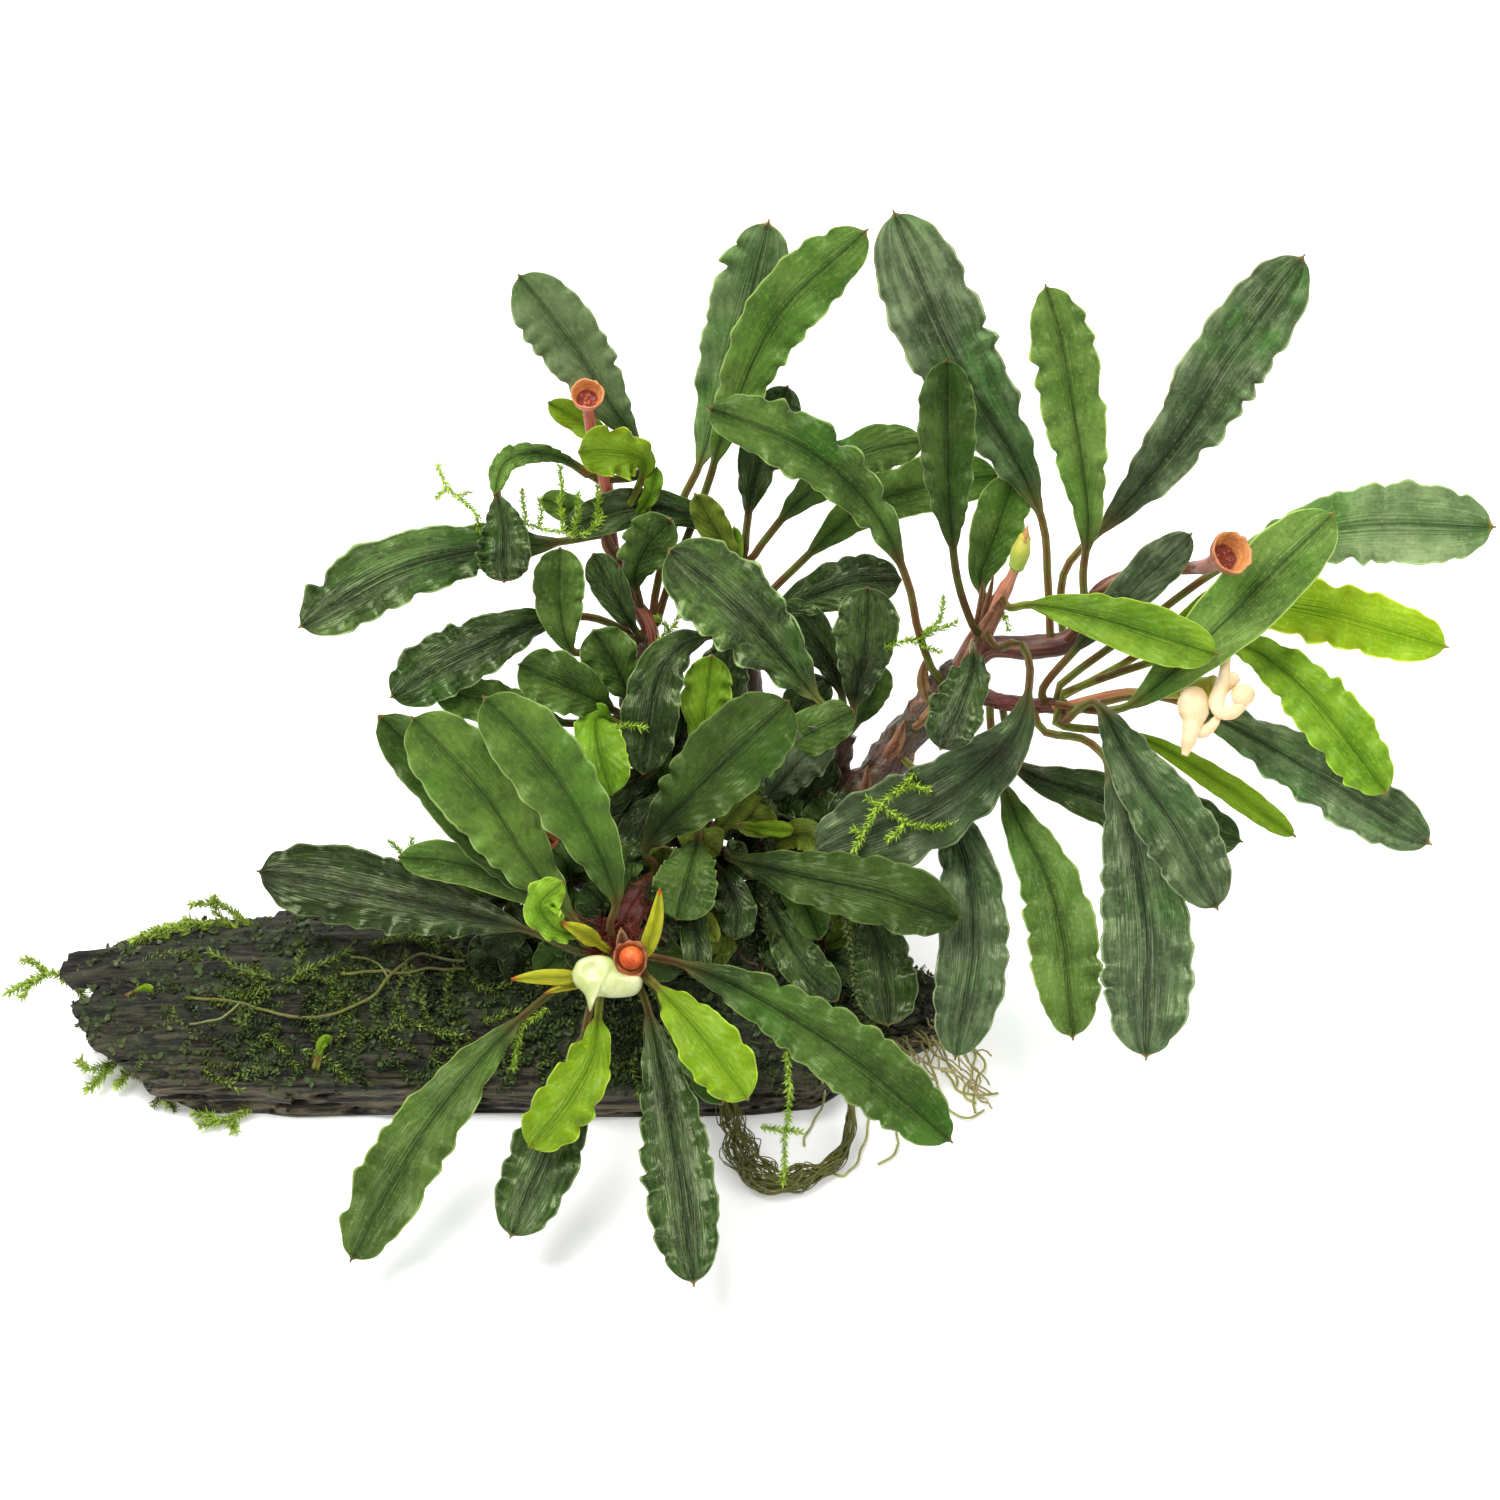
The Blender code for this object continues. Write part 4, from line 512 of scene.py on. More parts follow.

# Duller ones in the shade of the leaves: their darker moss colour is painted shade.
SHADED_STRANDS = [
    [(51.4, 50.8, 20), (53, 48, 20), (54.6, 46, 16), (56, 44, 11)],
    [(69.2, 24.6, 29.4), (69.4, 21, 27.6), (70.4, 15, 27), (71.4, 7.4, 26)],
    [(56.4, 20.6, 16.6), (53.8, 21.2, 20), (52.4, 26, 20), (54.4, 30.6, 19)],
]

# Moss strands and roots that lie on the wood, as u, v.
WOOD_STRANDS = [
    [(-64, -7), (-67, -10), (-69, -13)], [(-60, -5.6), (-55.6, -8), (-51, -10)],
    [(-43, 11.4), (-36, 15), (-30, 18)],
    [(-33, 14), (-33.8, 10.6), (-33.4, 7.4)], [(-3.4, 3.4), (0.4, 5.2), (4, 6)],
    [(25.8, -5.6), (27.4, -8.4), (28, -11)],
    [(-45, 12), (-52, 14.4), (-58, 17.6)], [(-22, 6), (-15, 2.4), (-8, 0.4)], [(-6, 12), (-2, 10), (2, 11)],
    [(-72, 15), (-66, 17), (-60, 16)], [(-26, 19), (-19, 20.4), (-12, 19)], [(-14, -3), (-11, -7), (-11.4, -10)],
    [(-5, -2.4), (-7.4, -6), (-7, -10)], [(28, 2), (31, -2), (31.4, -7)], [(-40, -2), (-34, -4.4), (-30, -8)],
    [(-76, -6), (-70, -8.4), (-65, -14)], [(-48, 1), (-44, -1.4), (-41, -5)], [(-57, 10), (-51, 8.6), (-47, 10)],
]
WOOD_LEAFLETS = [
    [(-72.8, 9.4), (-71.2, 10.2), (-69.4, 9.6)], [(-36.4, -3.8), (-35.6, -0.8), (-33.6, 0.6)],
    [(-67, -2.4), (-66.2, -1.2), (-65, -0.6)],
]
WOOD_ROOTS = [
    [(-66.8, 6.8), (-61.8, 8.4), (-52.2, 7.4), (-44.6, 5.4), (-39.4, 4.6), (-33, 5.4), (-26.6, 8), (-22.2, 12.4),
     (-19.6, 15), (-15.8, 17.2), (-10.8, 16), (-7, 16)],
    [(-31.8, 13.2), (-23.4, 13.8), (-21, 13.2), (-14, 14.2), (-7, 14.4)],
    [(-22.2, 12.4), (-25, 15.4), (-30, 16.6)], [(-52, 7.4), (-56, 4.4), (-62, 3)],
]

# Pale roots that hang from the wood and lie on the floor, as u, v.
FLOOR_ROOTS = [
    [(72, -9), (73.6, -15.6), (73.2, -19), (71.6, -24), (69.4, -26.8), (67, -26.8), (65.2, -25.2)],
    [(64.4, -8), (64.6, -12), (62.4, -17), (60.6, -21)], [(56, -27), (58, -28.6), (61.6, -29), (63, -26)],
    [(48, -22), (52, -28), (57, -29), (60, -27.2), (63, -25.2)], [(76, -8), (79.2, -17), (79.6, -22), (76, -25)],
    [(86, 2), (88.4, -2.4), (89.6, -5), (91.4, -8), (91, -10)],
    [(86, 5), (91, 4), (93, 1), (95, -3), (94, -7), (92.6, -11), (95, -13)],
    [(86, 4), (92, 0), (97, -4), (95.6, -8), (94.6, -12), (95, -15)],
    [(89, -6), (91.6, -10), (96, -10.8), (99.6, -10.8)],
    [(84, 0), (88, -10), (91, -15), (95, -15.2), (97, -13.6)],
]

# Places that leaves inside the plant reach for, as u, v.
INNER_PLACES = [
    (44.5, 35.5), (46.0, 44.0), (44.0, 31.0), (-8.0, 32.0), (-4.0, 37.0), (-10.0, 28.0), (13.0, 29.5),
    (30.4, 68.0), (35.8, 64.0), (16.0, 32.0),
]

# The bud and its point, which carry no stalk, as u, v, w.
BUD_ROUTES = {
    "bud": [(102.9, 93.8, 25.3), (103.3, 94.8, 25.7), (104.1, 97.6, 27), (104.9, 100.4, 27.8), (105.3, 101.6, 28)],
    "bud_point": [(104.9, 99.4, 28.8), (105.2, 101.2, 28.6), (105.5, 103.0, 28.4)],
}
RECEPTACLE_ROUTE = [
    (110.4, 66.4, 23), (124.4, 69.6, 24), (133.6, 69.0, 27), (136.6, 69.4, 28), (140.6, 70.2, 30.4),
    (143, 70.6, 32),
]

# Mouth of a spent cup in rows: how far past the stem's end, radius, how torn, how much of the cup's inside.
CUP_MOUTH = [
    (1.0, 1.8, 0.0, 0.0), (2.4, 2.9, 0.1, 0.0), (4.2, 3.35, 0.4, 0.1), (4.8, 3.25, 0.7, 0.4), (4.4, 2.95, 0.5, 0.4),
    (3.2, 2.7, 0.2, 0.45), (2.2, 2.4, 0.0, 0.5), (1.3, 1.9, 0.0, 0.9), (0.9, 1.3, 0.0, 1.0), (1.2, 0.4, 0.0, 1.0),
]

# Mouth of the open cup that holds the ball.
BALL_MOUTH = [
    (1.2, 2.2, 0.0, 0.0), (3.0, 3.3, 0.3, 0.0), (4.8, 3.7, 1.4, 0.1), (5.2, 3.4, 1.5, 0.3), (4.2, 2.9, 0.7, 0.3),
    (2.6, 2.0, 0.0, 1.0), (2.2, 0.8, 0.0, 1.0),
]

# The loop of roots in front of the wood, as x, y, z, and its radii from start to end.
LOOP_ROUTE = [
    (45, -20, 6.0), (47.2, -28, 4.0), (49.2, -35, 3.2), (54, -40.5, 3.0), (60.6, -38.6, 2.4), (65.8, -35.6, 2.2),
    (69, -30, 2.6), (70, -21, 4.4), (68.4, -14, 5.6),
]
LOOP_RADII = [2.4, 3.6, 4.4, 4.2, 3.0, 1.8, 1.3, 1.1, 1.0]


def seen_way(right, up, near):
    """Direction or distance, given as the viewer sees it."""
    return RIGHT * right + UP_IN_VIEW * up + TO_VIEWER * near


def place(u, v, w):
    """World point of a point that the viewer sees u to the right and v up, w nearer than the origin."""
    nearer = (VIEW_DISTANCE - w) / VIEW_DISTANCE
    right = VIEW_CENTRE[0] + (u - VIEW_CENTRE[0]) * nearer
    up = VIEW_CENTRE[1] + (v - VIEW_CENTRE[1]) * nearer
    return seen_way(right, up, w) * MM


def view_route(route):
    return [place(*point) for point in route]


def on_wood(u, v, lift):
    """Point above the wood's skin, or above the floor beside it, that the viewer sees at u, v."""
    w = NEAREST_W
    while w > FARTHEST_W:
        point = place(u, v, w) / MM
        front, back = wood_section(point.x)[:2]
        over = front <= point.y <= back and WOOD_STATIONS[0][0] <= point.x <= WOOD_STATIONS[-1][0]
        if point.z <= (wood_top(point.x, point.y) if over else 0.0) + lift:
            break
        w -= SEARCH_STEP
    return point * MM


def uneven(x, y, z):
    """Smooth chance number around 0 for a place."""
    return noise.noise(Vector((x, y, z)))


def drawn(chance, *ranges):
    """One number out of every range."""
    return [chance.uniform(low, high) for low, high in ranges]


def wander(points, amount, seed, steps=8):
    """Smooth line through points that strays a little to every side, but not where it starts."""
    noise.seed_set(STRAY_SEED)
    shift = Vector((seed, 0.0, 0.0))
    return [
        point + noise.noise_vector(point * STRAY_GRAIN + shift) * amount * MM * min(1.0, index / 4.0)
        for index, point in enumerate(smooth_route(points, steps))
    ]


def straying(routes, amount=0.5):
    return [wander(view_route(route), amount, number) for number, route in enumerate(routes)]


def straying_on_wood(routes, lift, amount, steps=8):
    return [
        wander([on_wood(u, v, lift) for u, v in route], amount, number, steps)
        for number, route in enumerate(routes)
    ]


def above_floor(line):
    """The same line, lifted where it would dip into the floor."""
    return [Vector((point.x, point.y, max(point.z, LINE_ABOVE_FLOOR))) for point in line]


def smooth_route(points, steps_per_span=12):
    """Points along the smooth curve that passes through the given ones."""
    ends = [points[0] * 2 - points[1]] + list(points) + [points[-1] * 2 - points[-2]]
    curve = []
    for index in range(1, len(ends) - 2):
        before, start, end, after = ends[index - 1:index + 3]
        for step in range(steps_per_span):
            t = step / steps_per_span
            curve.append(0.5 * (
                2 * start
                + (end - before) * t
                + (2 * before - 5 * start + 4 * end - after) * t ** 2
                + (3 * start - before - 3 * end + after) * t ** 3
            ))
    curve.append(points[-1].copy())
    return curve


def lengths_along(curve):
    total = 0.0
    lengths = [0.0]
    for start, end in zip(curve, curve[1:]):
        total += (end - start).length
        lengths.append(total)
    return lengths


def at_share(curve, lengths, share):
    """Point and direction at a share of the curve's length."""
    distance = min(max(share, 0.0), 1.0) * lengths[-1]
    index = 1
    while index < len(lengths) - 1 and lengths[index] < distance:
        index += 1
    span = max(lengths[index] - lengths[index - 1], SMALLEST)
    t = (distance - lengths[index - 1]) / span
    point = curve[index - 1].lerp(curve[index], t)
    before = curve[max(index - 2, 0)]
    after = curve[min(index + 1, len(curve) - 1)]
    near = curve[index] - curve[index - 1]
    return point, (near.normalized() + (after - before).normalized()).normalized()


def chance_spot(chance, routes):
    """Point somewhere along one of the routes."""
    curve = view_route(chance.choice(routes))
    return at_share(curve, lengths_along(curve), chance.random())[0]


def linear(colour):
    """Scene colour from one given in 0 to 255 as it shows on a screen."""
    values = []
    for part in colour:
        share = part / 255.0
        values.append(share / 12.92 if share <= 0.04045 else ((share + 0.055) / 1.055) ** 2.4)
    return (*values, 1.0)


class Nodes:
    """The nodes of one tree, made and linked by short calls."""

    def node(self, kind, inputs=(), **settings):
        """Make a node with these settings, and feed the inputs that are given by name or number."""
        made = self.tree.nodes.new(kind)
        for key, value in settings.items():
            setattr(made, key, value)
        for key, value in dict(inputs).items():
            self.feed(made.inputs[key], value)
        return made

    def feed(self, socket, value):
        """Link a socket to another node's output, or set it to a plain value."""
        if isinstance(value, bpy.types.NodeSocket):
            self.tree.links.new(value, socket)
        else:
            socket.default_value = value


# Materials


class Finish(Nodes):
    """A material. Its colours are given in 0 to 255, as they show on a screen."""

    def __init__(self, name):
        self.material = bpy.data.materials.new(name)
        self.material.use_nodes = True
        self.tree = self.material.node_tree
        self.shader = self.tree.nodes["Principled BSDF"]
        self.point = self.node("ShaderNodeTexCoord").outputs["Object"]

    def uv(self, name):
        return self.node("ShaderNodeUVMap", uv_map=name).outputs["UV"]

    def attribute(self, name):
        return self.node("ShaderNodeAttribute", attribute_name=name).outputs["Fac"]

    def parts(self, vector):
        return self.node("ShaderNodeSeparateXYZ", {0: vector}).outputs

    def noise(self, scale, detail=3.0, roughness=0.55, distortion=0.0, vector=None):
        """Smooth noise over the object, or over a vector."""
        return self.node("ShaderNodeTexNoise", {
            "Vector": self.point if vector is None else vector, "Scale": scale, "Detail": detail,
            "Roughness": roughness, "Distortion": distortion,
        }).outputs["Fac"]

    def streaks(self, vector, stretch, detail=3.0, roughness=0.55, distortion=0.0):
        """Noise with a scale of its own along every axis of a vector."""
        mapping = self.node("ShaderNodeMapping", {"Vector": vector, "Scale": stretch})
        return self.noise(1.0, detail, roughness, distortion, mapping.outputs["Vector"])

    def cells(self, scale):
        return self.node("ShaderNodeTexVoronoi", {"Vector": self.point, "Scale": scale}).outputs["Distance"]

    def maths(self, operation, *values):
        return self.node("ShaderNodeMath", enumerate(values), operation=operation).outputs[0]

    def times(self, first, *others):
        for other in others:
            first = self.maths("MULTIPLY", first, other)
        return first

    def plus(self, first, *others):
        for other in others:
            first = self.maths("ADD", first, other)
        return first

    def fused(self, value, factor, extra):
        return self.maths("MULTIPLY_ADD", value, factor, extra)

    def between(self, value, low, high, to_low=0.0, to_high=1.0):
        """Turn a value from low to high softly into one from to_low to to_high."""
        return self.node("ShaderNodeMapRange", {
            "Value": value, "From Min": low, "From Max": high, "To Min": to_low, "To Max": to_high,
        }, interpolation_type="SMOOTHSTEP").outputs["Result"]

    def mix(self, share, first, second):
        first, second = (linear(each) if isinstance(each, tuple) else each for each in (first, second))
        return self.node("ShaderNodeMix", {"Factor": share, 6: first, 7: second}, data_type="RGBA").outputs[2]

    def wash(self, base, colour, value, *limits):
        """Lay a colour over the base where a value is high, or low."""
        return self.mix(self.between(value, *limits), base, colour)

    def washes(self, base, *layers):
        for layer in layers:
            base = self.wash(base, *layer)
        return base

    def finish(self, colour, roughness, height, lift, depth, coat=0.0, specular=0.5, subsurface=0.0):
        bump = self.node("ShaderNodeBump", {"Height": height, "Strength": lift, "Distance": depth})
        for name, value in (
            ("Base Color", colour), ("Roughness", roughness), ("Normal", bump.outputs["Normal"]),
            ("Specular IOR Level", specular), ("Coat Weight", coat), ("Coat Roughness", COAT_ROUGHNESS),
            ("Subsurface Weight", subsurface), ("Subsurface Scale", SUBSURFACE_SCALE),
        ):
            self.feed(self.shader.inputs[name], value)
        return self.material


def leaf_finish(tint):
    """Wet leaf: blade with long grooves beside its rib, cross veins, patches, a pale margin that is partly a
    painted highlight, and on grey tints a painted wet sheen.
    """
    blade, patch, rib, margin_and_highlight, under, roughness = TINTS[tint]
    g = Finish("leaf_" + tint)
    along = g.uv("leaf")
    length, across = g.parts(along)[:2]
    from_rib = g.maths("ABSOLUTE", g.fused(across, 2.0, -1.0))
    near_rib = g.between(from_rib, 0.02, 0.26, 1.0, 0.0)
    on_rib = g.between(from_rib, 0.008, 0.035, 1.0, 0.0)
    # Long grooves run beside the rib, and fade towards the margin.
    streak = g.streaks(along, (3.0, 26.0, 1.0))
    lines = g.fused(g.maths("SINE", g.fused(from_rib, 44.0, g.times(g.noise(70.0), 3.0))), 0.35, streak)
    slant = g.times(g.fused(from_rib, 9.0, g.times(length, -34.0)), 2.4)
    veins = g.maths("SINE", g.fused(g.noise(90.0), 4.0, slant))
    fine = g.noise(1300.0, 3.0, 0.6)
    mottle = g.noise(280.0, 4.0, 0.6)
    vivid = (blade[0] * 1.05, patch[1] * 0.92, blade[2] * 0.5)
    base = g.washes(
        blade,
        (patch, g.noise(60.0, 3.0, 0.5, 0.4), 0.38, 0.64),
        (patch, streak, 0.48, 0.68, 0.0, 0.45),
        (patch, from_rib, 0.35, 0.95, 0.0, 0.42),
        (vivid, g.noise(34.0, 3.0, 0.6), 0.47, 0.62, 0.0, 0.4),
    )
    # Grey tints: a darker mottle, and over it pale threads beside the rib that paint the patchy sheen of the wet
    # film; the mottle deepens the contrast of this painted sheen.
    if tint in GREY_TINTS:
        gloom = g.streaks(along, (5.0, 7.0, 1.0), 4.0, 0.6)
        threads = g.between(g.streaks(along, (5.0, 70.0, 1.0), 2.0), 0.50, 0.66, 0.0, 0.50)
        beside = g.between(from_rib, 0.10, 0.55, 1.0, 0.15)
        base = g.wash(base, rib, gloom, 0.40, 0.58, 0.55, 0.0)
        base = g.mix(g.times(threads, g.between(gloom, 0.42, 0.60, 0.3, 1.0), beside), base, PAINTED_WET_SHEEN)
    base = g.mix(g.times(near_rib, g.between(lines, 0.25, 0.75, 0.50, 0.0)), base, rib)
    base = g.washes(
        base,
        (rib, veins, 0.2, 1.0, 0.0, 0.10),
        (patch, mottle, 0.50, 0.68, 0.0, 0.30),
        (rib, mottle, 0.34, 0.48, 0.30, 0.0),
        (margin_and_highlight, fine, 0.54, 0.70, 0.0, 0.20),
        (rib, fine, 0.30, 0.46, 0.25, 0.0),
    )
    base = g.mix(g.times(on_rib, 0.8), base, rib)
    # The blade is darkest where it leaves its stalk.
    from_stalk = g.fused(g.noise(60.0), 0.5, g.maths("SUBTRACT", length, 0.25))
    base = g.wash(base, rib, from_stalk, 0.12, 0.62, 0.2 if tint in PALE_TINTS else 0.72, 0.0)
    # Pale margin: partly the leaf's own pale edge, partly a painted highlight along the wet edge.
    base = g.wash(base, margin_and_highlight, from_rib, 0.935, 0.975, 0.0, 0.8)
    point_limits = (0.93, 0.99) if tint in POINTED_TINTS else (0.982, 0.994, 0.0, 0.6)
    base = g.wash(base, BRACT_POINT if tint == "bract" else LEAF_POINT, length, *point_limits)
    if tint not in POINTED_TINTS:
        fresh = FRESH_STALK if tint in PALE_TINTS else GREEN_STALK
        base = g.mix(g.attribute("stalk"), base, g.wash(fresh, BROWN_STALK, g.noise(200.0), 0.35, 0.65))
    base = g.mix(g.times(g.attribute("under"), 0.75), base, under)
    # Brightness of each leaf from its tone and light number, which is partly painted light and shade.
    shade = g.node("ShaderNodeHueSaturation", {"Value": g.attribute("tone"), "Color": base})
    height = g.plus(
        g.times(near_rib, lines, 1.3), g.times(veins, 0.08), g.times(g.noise(240.0, 3.0, 0.5), 0.6),
        g.times(streak, g.between(from_rib, 0.15, 0.55, 1.8, 0.4)),
    )
    wet = g.streaks(along, (9.0, 20.0, 1.0), 4.0, 0.6)
    rough = g.between(wet, 0.40, 0.66, roughness - 0.12, roughness + 0.20)
    g.shader.inputs["Specular Tint"].default_value = GREEN_SHINE
    shine = 0.50 if tint in ("dark", "blue_grey") else 0.30
    lit = 0.15 if tint in ("lime", "bract") else 0.0
    return g.finish(shade.outputs["Color"], rough, height, 0.8, 0.0006, 0.0, shine, lit)


def wood_finish():
    """Old wet wood: dark long fibres with brown bands, cracks and a green film where moss starts."""
    g = Finish("driftwood_fibres")
    grain = g.streaks(g.point, (45.0, 620.0, 620.0), 8.0, 0.66, 0.5)
    fine = g.streaks(g.point, (150.0, 1300.0, 1300.0), 4.0, 0.6)
    base = g.washes(
        (10, 9, 7),
        ((76, 70, 54), grain, 0.40, 0.64),
        ((84, 78, 60), g.streaks(g.point, (14.0, 60.0, 60.0)), 0.48, 0.75, 0.0, 0.5),
        ((10, 8, 8), grain, 0.40, 0.50, 0.8, 0.0),
        ((16, 12, 11), fine, 0.5, 0.7, 0.0, 0.6),
    )
    # The lowest fibres are pale.
    low = g.between(g.parts(g.point)[2], 0.0045, 0.0125, 0.62, 0.0)
    base = g.mix(g.times(low, g.between(grain, 0.42, 0.60)), base, (140, 130, 102))
    film = g.times(g.attribute("moss"), g.between(g.noise(210.0, 6.0, 0.7), 0.28, 0.52), 0.92)
    base = g.mix(film, base, g.wash((26, 33, 19), (66, 78, 44), g.noise(700.0), 0.35, 0.65))
    height = g.plus(g.times(grain, 1.8), g.times(fine, 0.7), g.times(g.noise(700.0), 0.4))
    return g.finish(base, g.between(grain, 0.3, 0.7, 0.45, 0.8), height, 1.0, 0.0012, 0.0, 0.4)


def moss_finish(name, deep, light, tip):
    """Moss: every leaflet has its own green, and patches have another."""
    g = Finish(name)
    base = g.washes(
        deep,
        (light, g.attribute("own"), 0.0, 1.0),
        (tip, g.noise(110.0, 2.0), 0.4, 0.65, 0.0, 0.6),
        (deep, g.noise(1800.0), 0.4, 0.7, 0.0, 0.3),
    )
    return g.finish(base, 0.55, g.noise(2400.0), 0.4, 0.0002, 0.0, 0.4, 0.05)


def bark_finish(name, dark, light, flake, green=0.0):
    """Rhizome or root: skin with long fibres, flakes and a green film."""
    g = Finish(name)
    fibres = g.streaks(g.uv("stem"), (5.0, 26.0, 1.0), 4.0, 0.6)
    patches = g.noise(190.0, 4.0, 0.6)
    base = g.washes(
        dark,
        (light, fibres, 0.3, 0.7),
        (flake, patches, 0.60, 0.72, 0.0, 0.75),
        ((56, 72, 30), g.noise(120.0), 0.46, 0.62, 0.0, green),
        (dark, g.noise(1400.0), 0.5, 0.75, 0.0, 0.4),
    )
    height = g.plus(fibres, g.times(g.noise(800.0, 4.0), 0.8))
    return g.finish(base, g.between(patches, 0.35, 0.7, 0.32, 0.62), height, 0.8, 0.0006)


def stem_finish(name, low, high, speck, turn=(0.05, 0.9)):
    """Fleshy stem: colour that changes along it, fine long lines, a papery rim and a grainy inside."""
    g = Finish(name)
    along = g.uv("stem")
    lines = g.streaks(along, (6.0, 22.0, 1.0))
    grains = g.cells(1100.0)
    cup = g.attribute("cup")
    base = g.washes(
        low,
        (high, g.parts(along)[0], *turn),
        (speck, lines, 0.42, 0.7, 0.0, 0.5),
        (low, g.noise(500.0), 0.5, 0.75, 0.0, 0.35),
        (g.mix(g.noise(700.0), (232, 172, 104), (186, 112, 66)), cup, 0.2, 0.45),
        (g.wash((204, 104, 68), (128, 50, 34), grains, 0.1, 0.5), cup, 0.6, 0.9),
    )
    height = g.plus(lines, g.times(g.noise(1100.0), 0.5), g.times(grains, cup, -2.0))
    return g.finish(base, g.between(lines, 0.3, 0.7, 0.35, 0.55), height, 0.7, 0.0003, 0.1, 0.4)


def flesh_finish(name, pale, deep, grain, roughness, lift):
    """Petal, ball or lining: pale flesh with clouds of deeper colour and a fine grain."""
    g = Finish(name)
    clouds = g.noise(260.0, 4.0, 0.6)
    cells = g.cells(grain)
    base = g.washes(pale, (deep, clouds, 0.35, 0.7), (deep, cells, 0.1, 0.6, 0.25, 0.0))
    height = g.plus(g.times(cells, 0.8), clouds)
    rough = g.between(clouds, 0.3, 0.7, roughness, roughness + 0.15)
    return g.finish(base, rough, height, lift, 0.0003, 0.1, 0.5, 0.15)


def floor_finish():
    """Plain white board with a faint unevenness, and a faint painted glow that lightens the shadows on it."""
    g = Finish("white_board")
    # Painted light: the board glows though it is no lamp, which lightens the shadows that fall on it.
    g.shader.inputs["Emission Color"].default_value = (1.0, 1.0, 1.0, 1.0)
    g.shader.inputs["Emission Strength"].default_value = SHADOW_LIFTING_FLOOR_GLOW
    base = g.mix(g.noise(30.0, 2.0), (246, 246, 245), (250, 250, 249))
    return g.finish(base, 0.7, g.noise(900.0), 0.05, 0.0002, 0.0, 0.2)


# Meshes


def put(name, data):
    """Object of a mesh, a lamp or a camera, in the scene."""
    item = bpy.data.objects.new(name, data)
    bpy.context.scene.collection.objects.link(item)
    return item


def plain_object(name, mesh, material):
    mesh.materials.append(material)
    return put(name, mesh)


def declare(item, slot, *nodes):
    """Make the piece part of the one rigid plant, and hide the solids that it stands for."""
    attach(item, "root")
    if nodes:
        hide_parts(*nodes)


class Shell:
    """Vertices, faces, a UV pair for each vertex and numbers for each vertex of one piece."""

    def __init__(self, layer, *numbers):
        self.layer = layer
        self.vertices = []
        self.faces = []
        self.pairs = []
        self.numbers = {name: [] for name in numbers}

    def vertex(self, point, pair=(0.0, 0.0), **numbers):
        self.vertices.append(point[:])
        self.pairs.append(pair)
        for name, values in self.numbers.items():
            values.append(numbers.get(name, 0.0))
        return len(self.vertices) - 1

    def bridge(self, rings):
        """Join rings of vertices into a skin with closed ends."""
        for near, far in zip(rings, rings[1:]):
            for index in range(len(near)):
                following = (index + 1) % len(near)
                self.faces.append((near[index], near[following], far[following], far[index]))
        self.faces += [tuple(reversed(rings[0])), tuple(rings[-1])]

    def piece(self, name, finish, slot, *nodes):
        """The finished piece, which stands for these nodes."""
        made = bpy.data.meshes.new(name)
        made.from_pydata(self.vertices, [], self.faces)
        layer = made.uv_layers.new(name=self.layer)
        for loop in made.loops:
            layer.data[loop.index].uv = self.pairs[loop.vertex_index]
        for key, values in self.numbers.items():
            made.attributes.new(key, "FLOAT", "POINT").data.foreach_set("value", values)
        filled = bmesh.new()
        filled.from_mesh(made)
        bmesh.ops.recalc_face_normals(filled, faces=filled.faces)
        filled.to_mesh(made)
        filled.free()
        made.polygons.foreach_set("use_smooth", [True] * len(made.polygons))
        made.update()
        declare(plain_object(name, made, finish), slot, *nodes)


def blade_profile(t, pointed):
    """Half width of a blade as a share of its greatest, from its neck at 0 to its tip at 1."""
    if pointed:
        return min(1.0, 1.25 * t ** 0.45 * (1.0 - t) ** 0.75 * 1.35)
    rising = 1.0 - (1.0 - t) ** 2.7
    rounding = math.sqrt(max(1.0 - (t / 0.985) ** 7, 0.0))
    return rising * rounding


made_points = []


def stem_points():
    """Points along the middle of every rhizome and stem."""
    if not made_points:
        for route in STEM_ROUTES.values():
            made_points.extend(smooth_route(view_route(route), 8))
    return made_points


